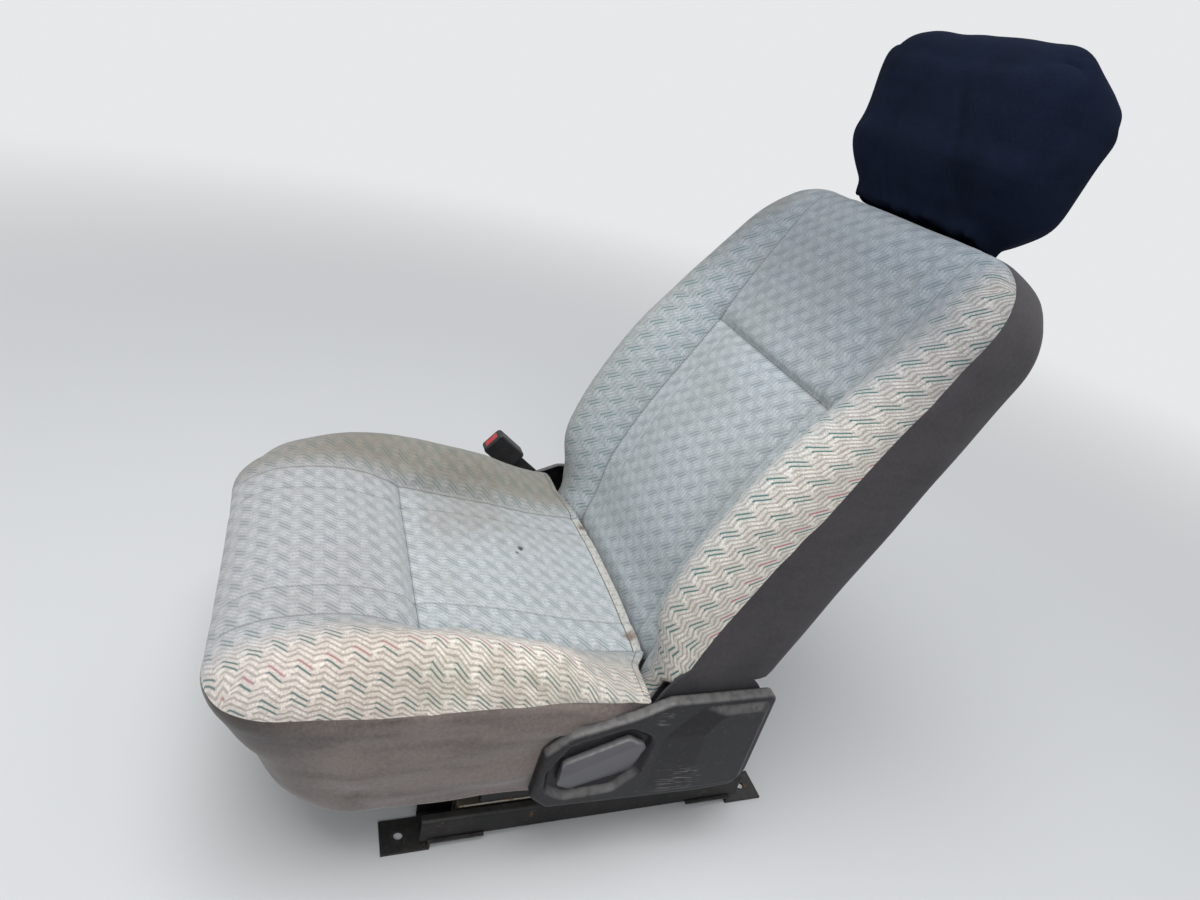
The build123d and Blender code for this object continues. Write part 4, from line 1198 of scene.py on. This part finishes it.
# %% Back shape
def back_front(x, up):
    """How far forward of the recliner's plane the woven face stands."""
    panel = 0.060 + 0.019 * step(0.0, 0.11, up) + 0.006 * groove(up, 0.19, 0.12)
    side = step(BACK_PANEL - 0.012, 0.203, abs(x))
    swell = 0.005 * max(0.0, 1 - (x / BACK_PANEL) ** 2)
    return panel + (follow(BACK_BOLSTER, up) - panel) * side + swell


def back_tail(x, up, forward, front):
    """Draw what lies below the recliner's axis in to arcs about it, wider in front at the bolsters."""
    if up >= 0:
        return forward
    radius, full = TAIL_FRONT + TAIL_BOLSTER * at_bolster(x), front
    if forward < 0:
        radius, full = TAIL_REAR, BACK_BEHIND
    return forward * min(1.0, sqrt(max(0.0, radius * radius - up * up)) / full)


def back_point(box):
    """Where a point of the box goes; the box is across, up, forward."""
    sign, x, up = (1 if box.x >= 0 else -1), abs(box.x), box.y
    depth = BACK_THICK - box.z
    from_side, from_top = BACK_HALF - x, BACK_TOP - up
    near_edge = nearest = min(from_side, from_top)
    inward, down = ring(BACK_ROUND - near_edge, BACK_ROUND - depth)
    near_edge, depth = BACK_ROUND - inward, BACK_ROUND - down
    inward, down = ring(REAR_ROUND - near_edge, REAR_ROUND - (BACK_THICK - depth))
    if inward > 0 and down > 0:
        near_edge, depth = REAR_ROUND - inward, BACK_THICK - (REAR_ROUND - down)
    if nearest < BACK_CORNER:
        share = (BACK_CORNER - near_edge) / (BACK_CORNER - nearest)
        side_share = share if from_side < BACK_CORNER else 1.0
        top_share = share if from_top < BACK_CORNER else 1.0
        x = BACK_HALF - (BACK_CORNER - (BACK_CORNER - from_side) * side_share)
        up = BACK_TOP - (BACK_CORNER - (BACK_CORNER - from_top) * top_share)
    past_x, past_up = ring(x - (BACK_HALF - BACK_CORNER), up - (BACK_TOP - BACK_CORNER))
    if past_x > 0 and past_up > 0:
        x, up = BACK_HALF - BACK_CORNER + past_x, BACK_TOP - BACK_CORNER + past_up
    front, edge = back_front(x, up), follow(BACK_EDGE, up)
    rear = -BACK_BEHIND + 0.039 * max(0.0, up) / BACK_TOP
    if depth < BACK_SEAM:
        forward = front - (front - edge) * depth / BACK_SEAM
    else:
        forward = edge - (edge - rear) * (depth - BACK_SEAM) / (BACK_THICK - BACK_SEAM)
    place = PIVOT + ACROSS * x + UP * up + FORWARD * back_tail(x, up, forward, front)
    narrow = 1 - step(SIDE_FOOT, SIDE_FOOT + 0.006, place.z)
    past = max(0.0, x - NARROW_FROM)
    place.x = sign * (x - past * narrow * (BACK_HALF - SIDE_NARROW) / (BACK_HALF - NARROW_FROM))
    return place


# %% Back block
back_mesh = sliced_block(
    (-BACK_HALF, BACK_FOOT, 0.0),
    (BACK_HALF, BACK_TOP, BACK_THICK),
    (
        (0, marks(-BACK_HALF, BACK_HALF, 0.0098, (-BACK_PANEL, -BACK_STRIP, BACK_STRIP, BACK_PANEL))),
        (1, marks(BACK_FOOT, BACK_TOP, 0.0098, (BACK_PANEL_TOP,))),
        (2, marks(0.0, BACK_THICK, 0.0098, (BACK_THICK - BACK_SEAM,))),
    ),
)
bmesh.ops.recalc_face_normals(back_mesh, faces=back_mesh.faces)


# %% Sew the back
def back_tone(box):
    """0 on the middle panel, 1 on the outer bolsters."""
    return step(0.160, 0.238, abs(box.x))


def no_strip(box):
    """The back has no pale strip."""
    return 0.0


def back_seam_mark(box):
    """1 on the seams between woven panels, less on the thin ones inside the insert."""
    if box.z < BACK_THICK - 0.001:
        return 0.0
    if abs(box.y - BACK_PANEL_TOP) < 0.001 and abs(box.x) < BACK_PANEL + 0.001:
        return 1.0
    if abs(abs(box.x) - BACK_PANEL) < 0.001:
        return 0.95
    return 0.80 if abs(abs(box.x) - BACK_STRIP) < 0.001 else 0.0


back_boxes = [v.co.copy() for v in back_mesh.verts]
for vert, box in zip(back_mesh.verts, back_boxes):
    vert.co = back_point(box)
sew(back_mesh, back_boxes, BACK_THICK, BACK_SEAM, back_tone, back_seam_mark, no_strip, 0.2)
back = finish_mesh(back_mesh, "back_cover", (back_weave, side_cloth))

# %% Fill the back and sink its seams
held = []
for index, box in enumerate(back_boxes):
    on_face = box.z > BACK_THICK - 0.001
    on_panel = abs(abs(box.x) - BACK_PANEL) < 0.0045 and box.y < BACK_PANEL_TOP + 0.01
    on_bar = abs(box.y - BACK_PANEL_TOP) < 0.0045 and abs(box.x) < BACK_PANEL + 0.0045
    at_recliner = abs(box.x) > BACK_HALF - 0.001 and box.y < 0.20
    if (on_face and (on_panel or on_bar)) or at_recliner or box.y < 0.05 or box.z < 0.001:
        held.append(index)
puff(back, held, pressure=4.0, cap=0.004)


def back_seams(box):
    """How far a point of the back is pulled in by the seams near it."""
    pull = 0.0
    if box.z > BACK_THICK - 0.03:
        above_bar = step(BACK_PANEL_TOP - 0.01, BACK_PANEL_TOP + 0.02, box.y)
        pull += 0.0040 * groove(abs(box.x), BACK_PANEL, 0.007) * (1 - 0.6 * above_bar)
        pull += 0.0012 * groove(abs(box.x), BACK_STRIP, 0.005)
        if abs(box.x) < BACK_PANEL + 0.004:
            pull += 0.0034 * groove(box.y, BACK_PANEL_TOP, 0.007)
    if abs(box.x) > BACK_HALF - 0.004 or box.y > BACK_TOP - 0.004:
        pull += 0.0024 * groove(box.z, BACK_THICK - BACK_SEAM, 0.005)
    return pull


def back_creases(box):
    """Slight unevenness of the foam, and long soft folds in the side cloth."""
    ripple = 0.0014 * noise.noise(Vector((box.x * 12, box.y * 10, 4.0)))
    if box.z < BACK_THICK - BACK_SEAM - 0.01:
        ripple += 0.0018 * noise.noise(Vector((box.x * 9, box.y * 8, box.z * 26)))
    return ripple


settle(back, back_boxes, back_seams, back_creases)
dress(back, "backrest", "back_pad")

# %% [markdown]
# ## Headrest
# A loose slip cover hides the headrest pad: it hangs straight at the sides, gathers into a hem that
# lies on the back's top edge, and has one curved seam across its front corner.

# %% Headrest sizes
REST_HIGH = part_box("headrest_pad")[1]
REST_HALF = REST_HIGH.x + 0.003
REST_TALL = 0.199
REST_THICK = 0.114
REST_FOOT = 0.5935
POST_BACK = 0.038
REST_LEAN = LEAN - radians(13.0)
REST_SIDE_ROUND = 0.036
REST_TOP_ROUND = 0.045
REST_CORNER = 0.046
print("slip cover", round(2 * REST_HALF, 3), "by", REST_TALL, "m")


# %% Headrest shape
def rest_point(co):
    """The box is across, up from the hem, and forward from the pad's middle."""
    x, up, forward = co
    sign = 1 if x >= 0 else -1
    front = 1 if forward >= 0 else -1
    from_side, from_top, from_face = REST_HALF - abs(x), REST_TALL - up, REST_THICK / 2 - abs(forward)
    side, face = ring(REST_SIDE_ROUND - from_side, REST_SIDE_ROUND - from_face)
    if side > 0 and face > 0:
        from_side, from_face = REST_SIDE_ROUND - side, REST_SIDE_ROUND - face
    top, face = ring(REST_TOP_ROUND - from_top, REST_TOP_ROUND - from_face)
    if top > 0 and face > 0:
        from_top, from_face = REST_TOP_ROUND - top, REST_TOP_ROUND - face
    side, top = ring(REST_CORNER - from_side, REST_CORNER - from_top)
    if side > 0 and top > 0:
        from_side, from_top = REST_CORNER - side, REST_CORNER - top
    x_far, up, deep = REST_HALF - from_side, REST_TALL - from_top, REST_THICK / 2 - from_face
    x_far *= 0.73 + 0.26 * step(0.0, 0.070, up) + 0.02 * step(0.075, REST_TALL, up)
    up -= 0.006 * (x_far / REST_HALF) ** 2 * step(0.10, REST_TALL, up)
    deep *= 0.60 + 0.40 * step(0.0, 0.06, up)
    if front > 0:
        deep += 0.008 * step(0.01, 0.07, up) + 0.010 * step(0.07, 0.15, up)
    lean = up * sin(REST_LEAN)
    upward = UP * (REST_FOOT + up * cos(REST_LEAN))
    return PIVOT + ACROSS * sign * x_far + upward + FORWARD * (POST_BACK + lean + front * deep)


# %% Headrest block
rest_mesh = sliced_block(
    (-REST_HALF, 0.0, -REST_THICK / 2),
    (REST_HALF, REST_TALL, REST_THICK / 2),
    (
        (0, marks(-REST_HALF, REST_HALF, 0.008)),
        (1, marks(0.0, REST_TALL, 0.008)),
        (2, marks(-REST_THICK / 2, REST_THICK / 2, 0.008)),
    ),
)
bmesh.ops.recalc_face_normals(rest_mesh, faces=rest_mesh.faces)
rest_boxes = [v.co.copy() for v in rest_mesh.verts]
for vert, box in zip(rest_mesh.verts, rest_boxes):
    vert.co = rest_point(box)
headrest = finish_mesh(rest_mesh, "headrest_cover", (navy_cloth,))
puff(headrest, [index for index, box in enumerate(rest_boxes) if box.y < 0.004], pressure=3.0, cap=0.006)


# %% Headrest seams and gathers
def rest_seams(co):
    """A curved seam on the front near each side, and the gathered hem."""
    pull = 0.0
    if co.z > 0:
        bow = 0.038 + 0.022 * cos((co.y - 0.055) * 26)
        pull += 0.0048 * groove(abs(co.x), bow, 0.006) * (1 - step(0.11, 0.15, co.y))
        pull += 0.0040 * groove(abs(co.x), 0.135 - 1.3 * co.y, 0.008) * (1 - step(0.03, 0.06, co.y))
    pull += 0.003 * groove(co.y, 0.018, 0.006)
    return pull


def rest_creases(co):
    """The hem's gathers, and soft unevenness above them."""
    gather = 1 - step(0.0, 0.06, co.y)
    ripple = 0.0018 * gather * sin(atan2(co.z * 2.2, co.x) * 11 + 3 * noise.noise(co * 20))
    return ripple + 0.004 * noise.noise(Vector((co.x * 18, co.y * 14, co.z * 18)))


settle(headrest, rest_boxes, rest_seams, rest_creases)
dress(headrest, "headrest", "headrest_pad")

# %% [markdown]
# ## Small pieces that show
# On the door side, the back's side cloth ends in a short hem beside the recliner. It turns with the
# back, so its edge is made of arcs about the recliner's axis. In the cover's dish, a screw sits in its
# recess: a ray finds the dish's floor, so that the screw stands on it.

# %% Side hem
HEM_THICK = 0.0040
HEM_ARCS = tuple((radians(turn), reach) for turn, reach in (
    (200, 0.058), (180, 0.058), (177, 0.0925), (100, 0.0925), (60, 0.058), (20, 0.058)))
hem_mesh = bmesh.new()
rim = []
for (first, radius), (last, end_radius) in zip(HEM_ARCS, HEM_ARCS[1:]):
    turns = max(1, round(abs(last - first) / radians(5)))
    for number in range(turns):
        share = number / turns
        turn, reach = first + (last - first) * share, radius + (end_radius - radius) * share
        rim.append(hem_mesh.verts.new((BACK_HALF, PIVOT.y + reach * cos(turn), PIVOT.z + reach * sin(turn))))
sheet = hem_mesh.faces.new(rim)
wall = bmesh.ops.extrude_face_region(hem_mesh, geom=[sheet])
far_side = [g for g in wall["geom"] if isinstance(g, bmesh.types.BMVert)]
bmesh.ops.translate(hem_mesh, vec=(-HEM_THICK, 0, 0), verts=far_side)
bmesh.ops.recalc_face_normals(hem_mesh, faces=hem_mesh.faces)
around = [e for e in hem_mesh.edges if abs(e.verts[0].co.x - e.verts[1].co.x) < 1e-5]
bmesh.ops.bevel(hem_mesh, geom=around, offset=0.0012, segments=2, profile=0.5, affect="EDGES", material=-1)
hem = finish_mesh(hem_mesh, "side_hem", (side_cloth,), smooth=False)
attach(hem, "backrest")
print("hem faces", len(hem.data.polygons))

# %% Screw in the dish
SCREW_AT = (-0.084, 0.193)
SCREW_RADIUS = 0.0042
cover_object = frame["nodes"]["recliner_cover_outer"]
cover_points = [cover_object.matrix_world @ v.co for v in cover_object.data.vertices]
cover_tree = BVHTree.FromPolygons(cover_points, [tuple(f.vertices) for f in cover_object.data.polygons])
dish_floor = cover_tree.ray_cast(Vector((0.35, *SCREW_AT)), Vector((-1, 0, 0)))[0].x
screw_mesh = bmesh.new()
bmesh.ops.create_cone(screw_mesh, cap_ends=True, segments=24, radius1=SCREW_RADIUS,
                      radius2=SCREW_RADIUS * 0.82, depth=0.0026)
bmesh.ops.rotate(screw_mesh, cent=(0, 0, 0), matrix=Matrix.Rotation(radians(90), 3, "Y"),
                 verts=screw_mesh.verts)
bmesh.ops.translate(screw_mesh, vec=(dish_floor + 0.0010, *SCREW_AT), verts=screw_mesh.verts)
head = [f for f in screw_mesh.faces if f.normal.x > 0.9]
bmesh.ops.inset_region(screw_mesh, faces=head, thickness=0.0016, depth=-0.0012)
screw = finish_mesh(screw_mesh, "cover_screw", (screw_steel,), smooth=False)
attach(screw, "seat")
print("dish floor at", round(dish_floor, 4))
